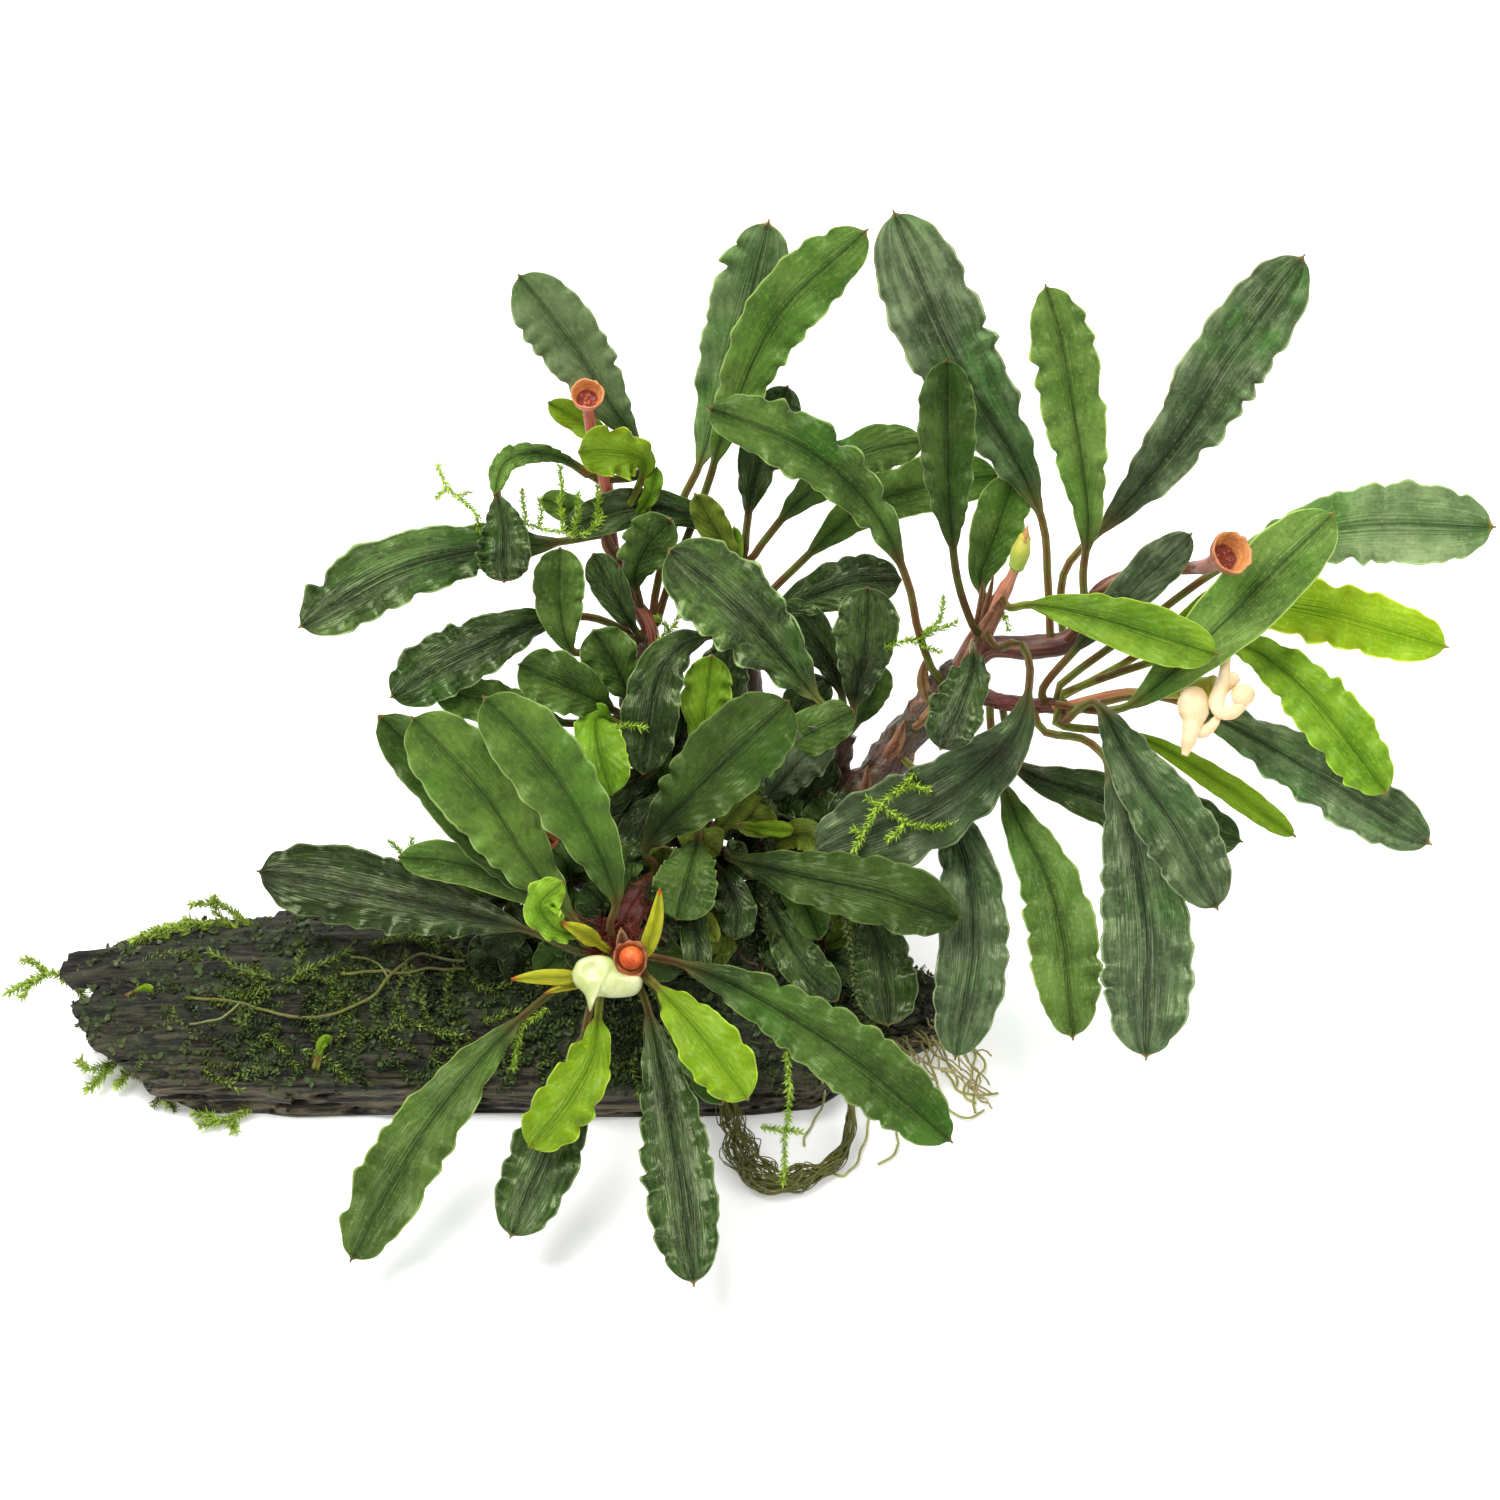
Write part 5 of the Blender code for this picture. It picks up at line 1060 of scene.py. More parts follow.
def grow_leaf(shell, leaf, steps, carried=True):
    """Add one leaf: a thin closed skin with a groove at its rib and ruffled margins."""
    points = view_route(leaf.route)
    # The stalk starts inside the stem that carries it.
    points.insert(0, points[0] + (points[0] - points[1]).normalized() * STALK_INTO_STEM * MM)
    if carried:
        points[0] = min(stem_points(), key=lambda spot: (spot - points[1]).length)
    curve = smooth_route(points)
    lengths = lengths_along(curve)
    inside = lengths[12] / lengths[-1]
    neck = leaf.neck + (1.0 - leaf.neck) * inside
    pointed = leaf.tint in POINTED_TINTS
    seed = sum(ord(letter) * (index + 3) for index, letter in enumerate(leaf.name)) % 997
    # The leaf's light number, partly painted light and shade, times a small random shift of its own colour.
    tone = leaf.light * random.Random(seed).uniform(0.88, 1.12)
    shares = [neck * index / STALK_STEPS for index in range(STALK_STEPS)]
    shares += [1.0 - (1.0 - neck) * (1.0 - index / steps) ** 1.1 for index in range(steps + 1)]
    rings = []
    for share in shares:
        t = max(0.0, (share - neck) / (1.0 - neck))
        point, along = at_share(curve, lengths, share)
        facing = TO_VIEWER - along * along.dot(TO_VIEWER)
        facing.normalize()
        side = along.cross(facing)
        profile = blade_profile(t, pointed)
        spread = min(1.0, profile * leaf.width / 2.0 / 4.0)
        end = min(1.0, (1.0 - t) * 9.0)
        bulk = BLADE_BULK * spread + STALK_BULK * (1.0 - spread)
        least = STALK_HALF * (1.0 - t if pointed else 1.0 - 0.8 * t ** 3) + 0.06
        keep = {"stalk": max(0.0, 1.0 - t / 0.14) ** 1.5, "tone": tone}
        ring_top = []
        ring_under = []
        for index in range(-HALF_STEPS, HALF_STEPS + 1):
            s = math.sin(index / HALF_STEPS * math.pi / 2.0)
            off = abs(s)
            hand = 1.0 if s >= 0 else 2.0
            waved = t * leaf.waves
            drift = uneven(waved * 0.45, seed * 0.37, hand * 9.1)
            small = uneven(waved * 3.1, seed * 0.71 + 5.0, hand * 4.3)
            turn = waved * 6.4 + seed * hand + 7.0 * drift
            strength = 0.35 + 1.5 * abs(uneven(waved * 0.8, seed * 0.19, hand * 2.7))
            ripple = strength * math.sin(turn) + 0.55 * small
            # Round lobes with sharp notches between them.
            lobes = abs(math.sin(turn / 2.0 + 0.6)) - 0.62 + 0.8 * small
            edge = max(0.0, (off - 0.30) / 0.70) ** 1.7
            half = max(least, leaf.width / 2.0 * profile)
            half *= 1.0 + LOBE_REACH * leaf.ruffle * strength * lobes * edge ** 1.6 * spread
            lift = BLADE_LIFT * max(half - STALK_HALF, 0.0) * off ** 1.4
            wave = WAVE_HEIGHT * leaf.ruffle * ripple * edge * spread * end
            quilt = QUILT_HEIGHT * spread * uneven(waved * 1.1, s * 1.5, seed * 0.13)
            roll = ROLL_HEIGHT * math.sin(t * 5.0 + seed) * s * spread
            groove = -0.34 * math.exp(-(s / 0.06) ** 2) + 0.16 * math.exp(-((off - 0.13) / 0.05) ** 2)
            groove -= 0.16 * math.exp(-((off - 0.26) / 0.06) ** 2)
            rise = lift + wave + roll + quilt * min(1.0, off * 3.0) + groove * spread
            centre = point + (side * half * s + facing * rise) * MM
            pair = (share, 0.5 + 0.5 * s)
            if abs(index) == HALF_STEPS:
                ring_top.append(shell.vertex(centre, pair, **keep))
                continue
            up = facing * bulk * math.sqrt(max(1.0 - off ** 4, 0.0)) * MM
            ring_top.append(shell.vertex(centre + up, pair, **keep))
            down = up * (1.0 + 0.6 * math.exp(-(s / 0.12) ** 2))
            ring_under.append(shell.vertex(centre - down, pair, under=1.0, **keep))
        rings.append(ring_top + list(reversed(ring_under)))
    shell.bridge(rings)


def add_leaf_piece(leaf, finishes, steps, *nodes):
    shell = Shell("leaf", *LEAF_NUMBERS)
    grow_leaf(shell, leaf, steps, bool(nodes) and leaf.name != "leaf_arch")
    shell.piece("blade_" + leaf.name, finishes[leaf.tint], LEAF_SLOTS[leaf.tint], *nodes)


def grow_tube(shell, points, radii, sides, steps, rough, grain, mouth=(), mouth_way=None, seed=0.0):
    """Add a round stem along points, with a radius at each, an uneven skin and an optional mouth.

    A row of the mouth says how far past the end it is, its radius, how torn it is, and its cup number.
    """
    curve = smooth_route(points, steps)
    directions = []
    widths = []
    for index in range(len(curve)):
        before = curve[max(index - 1, 0)]
        after = curve[min(index + 1, len(curve) - 1)]
        directions.append((after - before).normalized())
        position = index / steps
        first = min(int(position), len(radii) - 2)
        blend = position - first
        blend = blend * blend * (3.0 - 2.0 * blend)
        widths.append(radii[first] + (radii[first + 1] - radii[first]) * blend)
    marks = [(0.0, 0.0)] * len(curve)
    if mouth:
        axis = seen_way(*mouth_way).normalized()
        end = curve[-1]
        for advance, radius, torn, cup in mouth:
            curve.append(end + axis * advance * MM)
            directions.append(axis)
            widths.append(radius)
            marks.append((torn, cup))
    rings = []
    side = directions[0].orthogonal().normalized()
    walked = lengths_along(curve)
    for number, (point, along, radius) in enumerate(zip(curve, directions, widths)):
        side = (side - along * side.dot(along)).normalized()
        other = along.cross(side)
        torn, cup = marks[number]
        ring = []
        for corner in range(sides):
            angle = 2.0 * math.pi * corner / sides
            out = side * math.cos(angle) + other * math.sin(angle)
            skin = point + out * radius * MM
            bumpy = 1.0 + rough * noise.noise(skin * grain + Vector((seed, 0.0, 0.0)))
            bumpy += rough * 0.5 * noise.noise(skin * grain * 2.7 + Vector((0.0, seed, 0.0)))
            ragged = torn * uneven(math.cos(angle) * 2.3, math.sin(angle) * 2.3, seed + 1.7)
            bumpy += 0.12 * ragged
            pair = (walked[number] / walked[-1], corner / sides)
            ring.append(shell.vertex(point + (out * radius * bumpy + along * ragged) * MM, pair, cup=cup))
        rings.append(ring)
    shell.bridge(rings)


def grow_round(shell, centre, radii, rough, grain):
    """Add a closed ball with a radius to the right, up and near, and an uneven skin."""
    loops = []
    for ring in range(BALL_RINGS + 1):
        polar = math.pi * min(max(ring / BALL_RINGS, 0.012), 0.988)
        loop = []
        for corner in range(BALL_SIDES):
            angle = 2.0 * math.pi * corner / BALL_SIDES
            way = RIGHT * math.sin(polar) * math.cos(angle) * radii[0]
            way += UP_IN_VIEW * math.sin(polar) * math.sin(angle) * radii[1]
            way += TO_VIEWER * math.cos(polar) * radii[2]
            bumpy = 1.0 + rough * noise.noise((centre + way * MM) * grain)
            loop.append(shell.vertex(centre + way * MM * bumpy, (ring / BALL_RINGS, corner / BALL_SIDES)))
        loops.append(loop)
    shell.bridge(loops)


def grow_hood(shell):
    """Add the hood: a closed shell that bulges to the viewer inside its outline, with a fold and a hollow."""
    u, v, w = HOOD_CENTRE
    around = [Vector((a, b, 0.0)) for a, b in HOOD_OUTLINE]
    edge = smooth_route(around + around[:1], 8)[:-1]
    edge = [edge[int(index * len(edge) / HOOD_CORNERS)] for index in range(HOOD_CORNERS)]
    loops = []
    for number in range(-HOOD_RINGS, HOOD_RINGS + 1):
        share = max(0.02, 1.0 - abs(number) / HOOD_RINGS)
        dome = math.sqrt(max(1.0 - share ** 2, 0.0))
        loop = []
        for index, spot in enumerate(edge):
            a, b = u + (spot.x - u) * share, v + (spot.y - v) * share
            if number < 0:
                rise = -0.35 * dome * HOOD_HEIGHT
            else:
                hollow = math.exp(-((a - 18.2) / 2.2) ** 2 - ((b - 14.2) / 1.7) ** 2)
                fold = math.exp(-((a - 21.4 - 0.5 * (b - 12.0)) / 0.5) ** 2) * max(0.0, b - 10.0) * 0.12
                rise = HOOD_HEIGHT * dome - 1.6 * hollow * dome - fold * dome
            loop.append(shell.vertex(place(a, b, w + rise), (share, index / HOOD_CORNERS)))
        loops.append(loop)
    shell.bridge(loops)


# Node trees for moss and roots


class Growth(Nodes):
    """A geometry node tree with named inputs."""

    def __init__(self, name):
        self.tree = bpy.data.node_groups.new(name, "GeometryNodeTree")
        self.identifiers = {}
        for direction in ("INPUT", "OUTPUT"):
            self.socket("Geometry", "Geometry", direction)
        self.start = self.tree.nodes.new("NodeGroupInput")
        self.end = self.tree.nodes.new("NodeGroupOutput")

    def socket(self, name, kind, direction="INPUT"):
        socket_type = "NodeSocket" + kind
        return self.tree.interface.new_socket(name=name, in_out=direction, socket_type=socket_type).identifier

    def inputs(self, *pairs):
        """Add inputs, given as a name and a kind, and return what they put out."""
        for name, kind in pairs:
            self.identifiers[name] = self.socket(name, kind)
        return [self.start.outputs[name] for name, kind in pairs]

    def random(self, low, high, seed, kind="FLOAT"):
        first, out = (2, 1) if kind == "FLOAT" else (0, 0)
        inputs = {first: low, first + 1: high, "Seed": seed}
        return self.node("FunctionNodeRandomValue", inputs, data_type=kind).outputs[out]

    def lines(self):
        return self.node("GeometryNodeMeshToCurve", {0: self.start.outputs[0]}).outputs[0]

    def tube(self, lines, radius, corners):
        circle = self.node("GeometryNodeCurvePrimitiveCircle", {"Resolution": corners, "Radius": radius})
        return self.node("GeometryNodeCurveToMesh", {
            "Curve": lines, "Profile Curve": circle.outputs[0], "Fill Caps": True,
        }).outputs[0]

    def strew(self, spots, source, sizes, turn, seed):
        """Set the source on all spots, turned, in sizes of their own and with a number of their own."""
        shape = self.node("GeometryNodeObjectInfo", {"Object": source, "As Instance": True})
        put_on = self.node("GeometryNodeInstanceOnPoints", {
            "Points": spots.outputs["Points"], "Instance": shape.outputs["Geometry"],
            "Rotation": spots.outputs["Rotation"], "Scale": self.random(*sizes, seed),
        })
        turned = self.node("GeometryNodeRotateInstances", {"Instances": put_on.outputs[0], "Rotation": turn})
        return self.node("GeometryNodeStoreNamedAttribute", {
            "Geometry": turned.outputs[0], "Name": "own", "Value": self.random(0.0, 1.0, seed),
        }, data_type="FLOAT", domain="INSTANCE").outputs["Geometry"]

    def close(self, geometry, material):
        realized = self.node("GeometryNodeRealizeInstances", {0: geometry})
        painted = self.node("GeometryNodeSetMaterial", {"Geometry": realized.outputs[0], "Material": material})
        self.feed(self.end.inputs[0], painted.outputs[0])
        return self

    def grow(self, item, **values):
        """Run the tree on an object with these inputs, and leave the result as its plain mesh."""
        modifier = item.modifiers.new(self.tree.name, "NODES")
        modifier.node_group = self.tree
        for name, value in values.items():
            modifier[self.identifiers[name]] = value
        bpy.context.view_layer.update()
        graph = bpy.context.evaluated_depsgraph_get()
        made = bpy.data.meshes.new_from_object(item.evaluated_get(graph))
        item.modifiers.remove(modifier)
        old = item.data
        item.data = made
        made.name = item.name
        bpy.data.meshes.remove(old)
        made.polygons.foreach_set("use_smooth", [False] * len(made.polygons))


def strand_tree():
    """Moss strands: a thin stem along every line, with leaflets set all round it."""
    g = Growth("moss_strand")
    spacing, leaflet, smallest, largest, stem, seed, material = g.inputs(
        ("Spacing", "Float"), ("Leaflet", "Object"), ("Smallest", "Float"), ("Largest", "Float"),
        ("Stem radius", "Float"), ("Seed", "Int"), ("Material", "Material"))
    lines = g.lines()
    spots = g.node("GeometryNodeCurveToPoints", {"Curve": lines, "Length": spacing}, mode="LENGTH")
    index = g.node("GeometryNodeInputIndex").outputs[0]
    spin = g.node("ShaderNodeMath", {0: index, 1: math.radians(LEAFLET_TURN)}, operation="MULTIPLY")
    around = g.node("ShaderNodeCombineXYZ", {"Z": spin.outputs[0]})
    jitter = g.random((-0.25, -0.25, 0.0), (0.25, 0.25, 0.5), seed, "FLOAT_VECTOR")
    turn = g.node("ShaderNodeVectorMath", {0: around.outputs[0], 1: jitter}, operation="ADD")
    leaflets = g.strew(spots, leaflet, (smallest, largest), turn.outputs[0], seed)
    joined = g.node("GeometryNodeJoinGeometry", {0: leaflets})
    g.feed(joined.inputs[0], g.tube(lines, stem, STEM_CORNERS))
    return g.close(joined.outputs[0], material)


def cover_tree():
    """Moss cover: tufts strewn over the faces where the moss number is high, along their normals."""
    g = Growth("moss_cover")
    density, tuft, smallest, largest, seed, material = g.inputs(
        ("Tufts per square metre", "Float"), ("Tuft", "Object"), ("Smallest", "Float"), ("Largest", "Float"),
        ("Seed", "Int"), ("Material", "Material"))
    moss = g.node("GeometryNodeInputNamedAttribute", {"Name": "moss"}, data_type="FLOAT")
    share = g.node("ShaderNodeMath", {0: moss.outputs[0], 1: density}, operation="MULTIPLY")
    spots = g.node("GeometryNodeDistributePointsOnFaces", {
        "Mesh": g.start.outputs[0], "Density": share.outputs[0], "Seed": seed,
    })
    turn = g.random((-0.5, -0.5, 0.0), (0.5, 0.5, 6.28), seed, "FLOAT_VECTOR")
    return g.close(g.strew(spots, tuft, (smallest, largest), turn, seed), material)


def hair_tree():
    """Roots and threads: a thin tube along every line."""
    g = Growth("root_threads")
    radius, material = g.inputs(("Radius", "Float"), ("Material", "Material"))
    return g.close(g.tube(g.lines(), radius, ROOT_CORNERS), material)


def add_leaflet(made, turn, length, width, thick):
    """One small pointed leaflet along the turned Z: a closed flat spindle."""
    base, tip, *middle = [made.verts.new(turn @ Vector(spot)) for spot in (
        (0.0, 0.0, 0.0), (0.0, 0.0, length),
        (0.0, width * 0.5, length * 0.4), (thick, 0.0, length * 0.45), (0.0, -width * 0.5, length * 0.4),
    )]
    for near, far in zip(middle, middle[1:] + middle[:1]):
        made.faces.new((base, near, far))
        made.faces.new((near, tip, far))


def source_object(name, made):
    """Object of a shape that only the node trees need."""
    bmesh.ops.recalc_face_normals(made, faces=made.faces)
    mesh = bpy.data.meshes.new(name)
    made.to_mesh(mesh)
    made.free()
    return put(name, mesh)


def tuft_source(name, width, lean, count):
    """Leaflets in a whorl that lean out from the Z axis, one unit long."""
    made = bmesh.new()
    for number in range(count):
        spin = Matrix.Rotation(2.0 * math.pi * number / count + 0.4 * number, 4, "Z")
        tilt = Matrix.Rotation(math.radians(lean) + 0.25 * math.sin(number * 2.1), 4, "Y")
        add_leaflet(made, spin @ tilt, 1.0 - 0.12 * (number % 3), width, width * 0.2)
    return source_object(name, made)


def frond_source(name, pairs):
    """Flat comb of leaflets in pairs along X, one unit long."""
    made = bmesh.new()
    quarter = math.radians(90)
    add_leaflet(made, Matrix.Rotation(quarter, 4, "Y"), 1.0, 0.06, 0.05)
    for number in range(pairs):
        share = 0.12 + 0.8 * number / pairs
        for hand in (1.0, -1.0):
            turn = Matrix.Translation((share, 0.0, 0.02)) @ Matrix.Rotation(hand * math.radians(58), 4, "Z")
            turn = turn @ Matrix.Rotation(math.radians(78), 4, "Y") @ Matrix.Rotation(quarter, 4, "Z")
            add_leaflet(made, turn, 0.36 * (1.0 - 0.6 * share), 0.13, 0.03)
    return source_object(name, made)


def rest_on_floor(item):
    """Press flat what would reach into the floor."""
    for vertex in item.data.vertices:
        vertex.co.z = max(vertex.co.z, MOSS_ABOVE_FLOOR)


def drop(item):
    """Remove a source shape."""
    mesh = item.data
    bpy.data.objects.remove(item, do_unlink=True)
    bpy.data.meshes.remove(mesh)


def lines_object(name, lines):
    """Object of open polylines, in metres."""
    vertices = []
    edges = []
    for line in lines:
        first = len(vertices)
        vertices += [point[:] for point in line]
        edges += [(first + index, first + index + 1) for index in range(len(line) - 1)]
    mesh = bpy.data.meshes.new(name)
    mesh.from_pydata(vertices, edges, [])
    return put(name, mesh)


# Wood


def wood_section(x):
    """Front edge, back edge, front height and top height of the wood at x."""
    x = min(max(x, WOOD_STATIONS[0][0]), WOOD_STATIONS[-1][0])
    for near, far in zip(WOOD_STATIONS, WOOD_STATIONS[1:]):
        if x <= far[0]:
            t = (x - near[0]) / (far[0] - near[0])
            t = t * t * (3.0 - 2.0 * t) * 0.5 + t * 0.5
            return [a + (b - a) * t for a, b in zip(near[1:], far[1:])]


def left_end(v):
    """How far left the wood reaches at a height up the picture."""
    v = min(max(v, LEFT_END[0][0]), LEFT_END[-1][0])
    for near, far in zip(LEFT_END, LEFT_END[1:]):
        if v <= far[0]:
            return near[1] + (far[1] - near[1]) * (v - near[0]) / (far[0] - near[0])


def wood_height(x, y, front, back, front_height, top_height):
    share = min(max((y - front) / (back - front), 0.0), 1.0)
    rise = math.sin(min(share / CREST, 1.0) * math.pi / 2.0)
    fall = max(0.0, (share - CREST) / 0.28)
    height = front_height + (top_height - front_height) * rise
    height -= fall ** 2 * top_height * 0.28
    across, along = (x - CLUMP_CENTRE[0]) / CLUMP_REACH[0], (y - CLUMP_CENTRE[1]) / CLUMP_REACH[1]
    return height + CLUMP_HEIGHT * math.exp(-across ** 2 - along ** 2)


def wood_top(x, y):
    """Height of the wood's skin at a place seen from above."""
    return wood_height(x, y, *wood_section(x))


def wood_outline(x, around):
    """Point of the wood's section at x: around is 0 at its front foot and 1 at its back foot."""
    front, back = wood_section(x)[:2]
    if around < FRONT_WALL:
        t = around / FRONT_WALL
        return front + WALL_LEAN * (1.0 - t) ** 2, wood_section(x)[2] * t
    if around > BACK_WALL:
        t = (around - BACK_WALL) / 0.12
        return back - WALL_LEAN * t ** 2, wood_top(x, back) * (1.0 - t)
    y = front + (back - front) * ((around - FRONT_WALL) / 0.74)
    return y, wood_top(x, y)


def wood_skin(share, around):
    """Point of the wood's skin in millimetres, and how mossy it is, at shares of its length and section."""
    first, last = WOOD_STATIONS[0][0], WOOD_STATIONS[-1][0]
    x = first + (last - first) * share
    level_x = max(x, LEFT_TURN)
    y, z = wood_outline(level_x, around)
    front, back = wood_section(level_x)[:2]
    middle = (front + back) / 2.0
    ridge = uneven(x * 0.035, y * 0.30, z * 0.30) * 1.3 + uneven(x * 0.08, y * 0.8, z * 0.8) * 0.6
    crack = abs(uneven(x * 0.02 + 7.0, y * 0.55 + 3.0, z * 0.55))
    ridge -= CRACK_DEPTH * max(0.0, CRACK_WIDTH - crack) / CRACK_WIDTH
    ridge += uneven(x * 0.5, y * 1.6, z * 1.6) * 0.30
    foot = min(1.0, z / 1.5)
    out = Vector((0.0, (y - middle) * 0.35, max(z, 0.0) * 0.6 + 1.5)).normalized()
    jag = 0.0
    if share > RIGHT_JAGS:
        fade = (share - RIGHT_JAGS) / 0.07
        jag = (uneven(y * 0.16, z * 0.10, 9.0) * 7.0 + uneven(y * 0.7, z * 0.5, 2.0) * 2.4) * fade
        y = middle + (y - middle) * (1.0 - 0.10 * fade ** 2)
    elif x < LEFT_TURN:
        # The rings near the left end follow its outline as the viewer sees it.
        fade = (LEFT_TURN - x) / (LEFT_TURN - first)
        shrink = 1.0 - 0.28 * fade ** 2
        z *= shrink
        # The back wall, which the viewer can't see, ends where the top above it does.
        seen = wood_top(level_x, back) * shrink if around > BACK_WALL else z
        reach = min(LEFT_TURN, left_end((y + seen) * SEEN_SHARE)) + uneven(y * 0.9, z * 0.7, 2.0) * 0.8
        jag = (LEFT_TURN + (reach - LEFT_TURN) * fade) - x
    spot = Vector((x + jag, y, z)) + out * ridge * foot
    spot.z = max(spot.z, 0.0)
    green = uneven(x * 0.09, y * 0.11, 31.0) + 0.6 * uneven(x * 0.3, y * 0.35, 12.0)
    level = min(max((spot.z - 7.0) / 4.0, 0.0), 1.0)
    moss = min(max(0.72 + green * 2.0 + max(0.0, x - 10.0) * 0.03, 0.0), 1.0) * level
    return spot, moss * (1.0 - 0.5 * min(1.0, max(0.0, -40.0 - x) / 26.0))


class PlantSettings(bpy.types.PropertyGroup):
    """Sizes and numbers that a user would change."""
    leaf_steps: bpy.props.IntProperty(
        name="Leaf steps", description="Cross sections along the blade of a large leaf",
        default=84, min=12, max=200)
    moss_density: bpy.props.FloatProperty(
        name="Moss density", description="Tufts of moss on a square metre of the wood's mossy parts",
        default=260000.0, min=0.0)
    frond_density: bpy.props.FloatProperty(
        name="Frond density", description="Fronds of moss on a square metre of the wood's mossy parts",
        default=60000.0, min=0.0)
    clump_strands: bpy.props.IntProperty(
        name="Strands inside", description="Moss strands that grow among the rhizomes",
        default=230, min=0, max=1000)
    lying_fronds: bpy.props.IntProperty(
        name="Fronds on the wood", description="Short moss fronds that lie on the wood",
        default=270, min=0, max=3000)
    strand_spacing: bpy.props.FloatProperty(
        name="Strand spacing", description="Distance between leaflets along a moss strand",
        default=0.00022, unit="LENGTH", subtype="DISTANCE")
    root_radius: bpy.props.FloatProperty(
        name="Root radius", description="Radius of the fine roots",
        default=0.00022, unit="LENGTH", subtype="DISTANCE")


class PLANT_OT_wood(bpy.types.Operator):
    """Make the driftwood with its long fibres, cracks and jagged ends"""
    bl_idname = "plant.wood"
    bl_label = "Driftwood"

    def execute(self, context):
        shell = Shell("stem", "moss")
        rings = []
        for column in range(WOOD_COLUMNS + 1):
            ring = []
            for index in range(WOOD_AROUND):
                pair = (column / WOOD_COLUMNS, index / (WOOD_AROUND - 1))
                spot, moss = wood_skin(*pair)
                ring.append(shell.vertex(spot * MM, pair, moss=moss))
            rings.append(ring)
        shell.bridge(rings)
        shell.piece("wood", wood_finish(), "wood", "driftwood")
        return {"FINISHED"}


class PLANT_OT_wood_moss(bpy.types.Operator):
    """Strew moss over the top of the driftwood"""
    bl_idname = "plant.wood_moss"
    bl_label = "Moss on the wood"

    def execute(self, context):
        settings = context.scene.plant_settings
        for name, source, density, smallest, largest, seed, colours in (
            ("moss_cover", tuft_source("tuft", 0.60, 52, 4), settings.moss_density, 0.0009, 0.0020, 4,
             ("moss_low", (22, 33, 17), (62, 80, 37), (84, 94, 44))),
            ("moss_fronds", frond_source("frond", 4), settings.frond_density, 0.0016, 0.0036, 9,
             ("moss_fronds", (40, 57, 27), (94, 116, 52), (108, 120, 58))),
        ):
            item = put(name, bpy.data.objects["wood"].data.copy())
            item.data.materials.clear()
            cover_tree().grow(item, **{
                "Tufts per square metre": density, "Tuft": source, "Smallest": smallest,
                "Largest": largest, "Seed": seed, "Material": moss_finish(*colours),
            })
            drop(source)
            declare(item, "leaf_dark")
        return {"FINISHED"}


def fronds_on_wood(count, chance):
    """Short lines that lie on the wood in every direction, in three lots."""
    lots = [], [], []
    for number in range(count):
        u, v = drawn(chance, (-82.0, 34.0), (-9.0, 23.0))
        if v > 20.0 + u * 0.12 or u < left_end(v) + 3.0 or v < -8.0 - u * 0.02:
            continue
        turn, reach, bend = drawn(chance, (0.0, 6.28), (2.0, 4.6), (-1.5, 1.5))
        spots = [
            (u + math.cos(turn) * reach * side - math.sin(turn) * bend * side ** 2,
             v + math.sin(turn) * reach * side + math.cos(turn) * bend * side ** 2)
            for side in (-1.0, 0.0, 1.0)
        ]
        lots[number % 3].append(wander([on_wood(a, b, 0.8) for a, b in spots], 0.5, number * 1.3, 5))
    return lots


def clump_of_strands(count, chance):
    """Lines that start among the rhizomes and bend down."""
    lines = []
    for number in range(count):
        start = chance_spot(chance, CLUMP_ROUTES)
        heading = seen_way(*drawn(chance, (-1, 1), (-0.9, 0.7), (0.2, 1.0)))
        heading.normalize()
        reach = chance.uniform(4.0, 11.0) * MM
        end = start + heading * reach - Vector((0.0, 0.0, 0.35 * reach))
        lines.append(wander([start, start + heading * reach * 0.5, end], 1.2, number * 1.7, 4))
    return lines


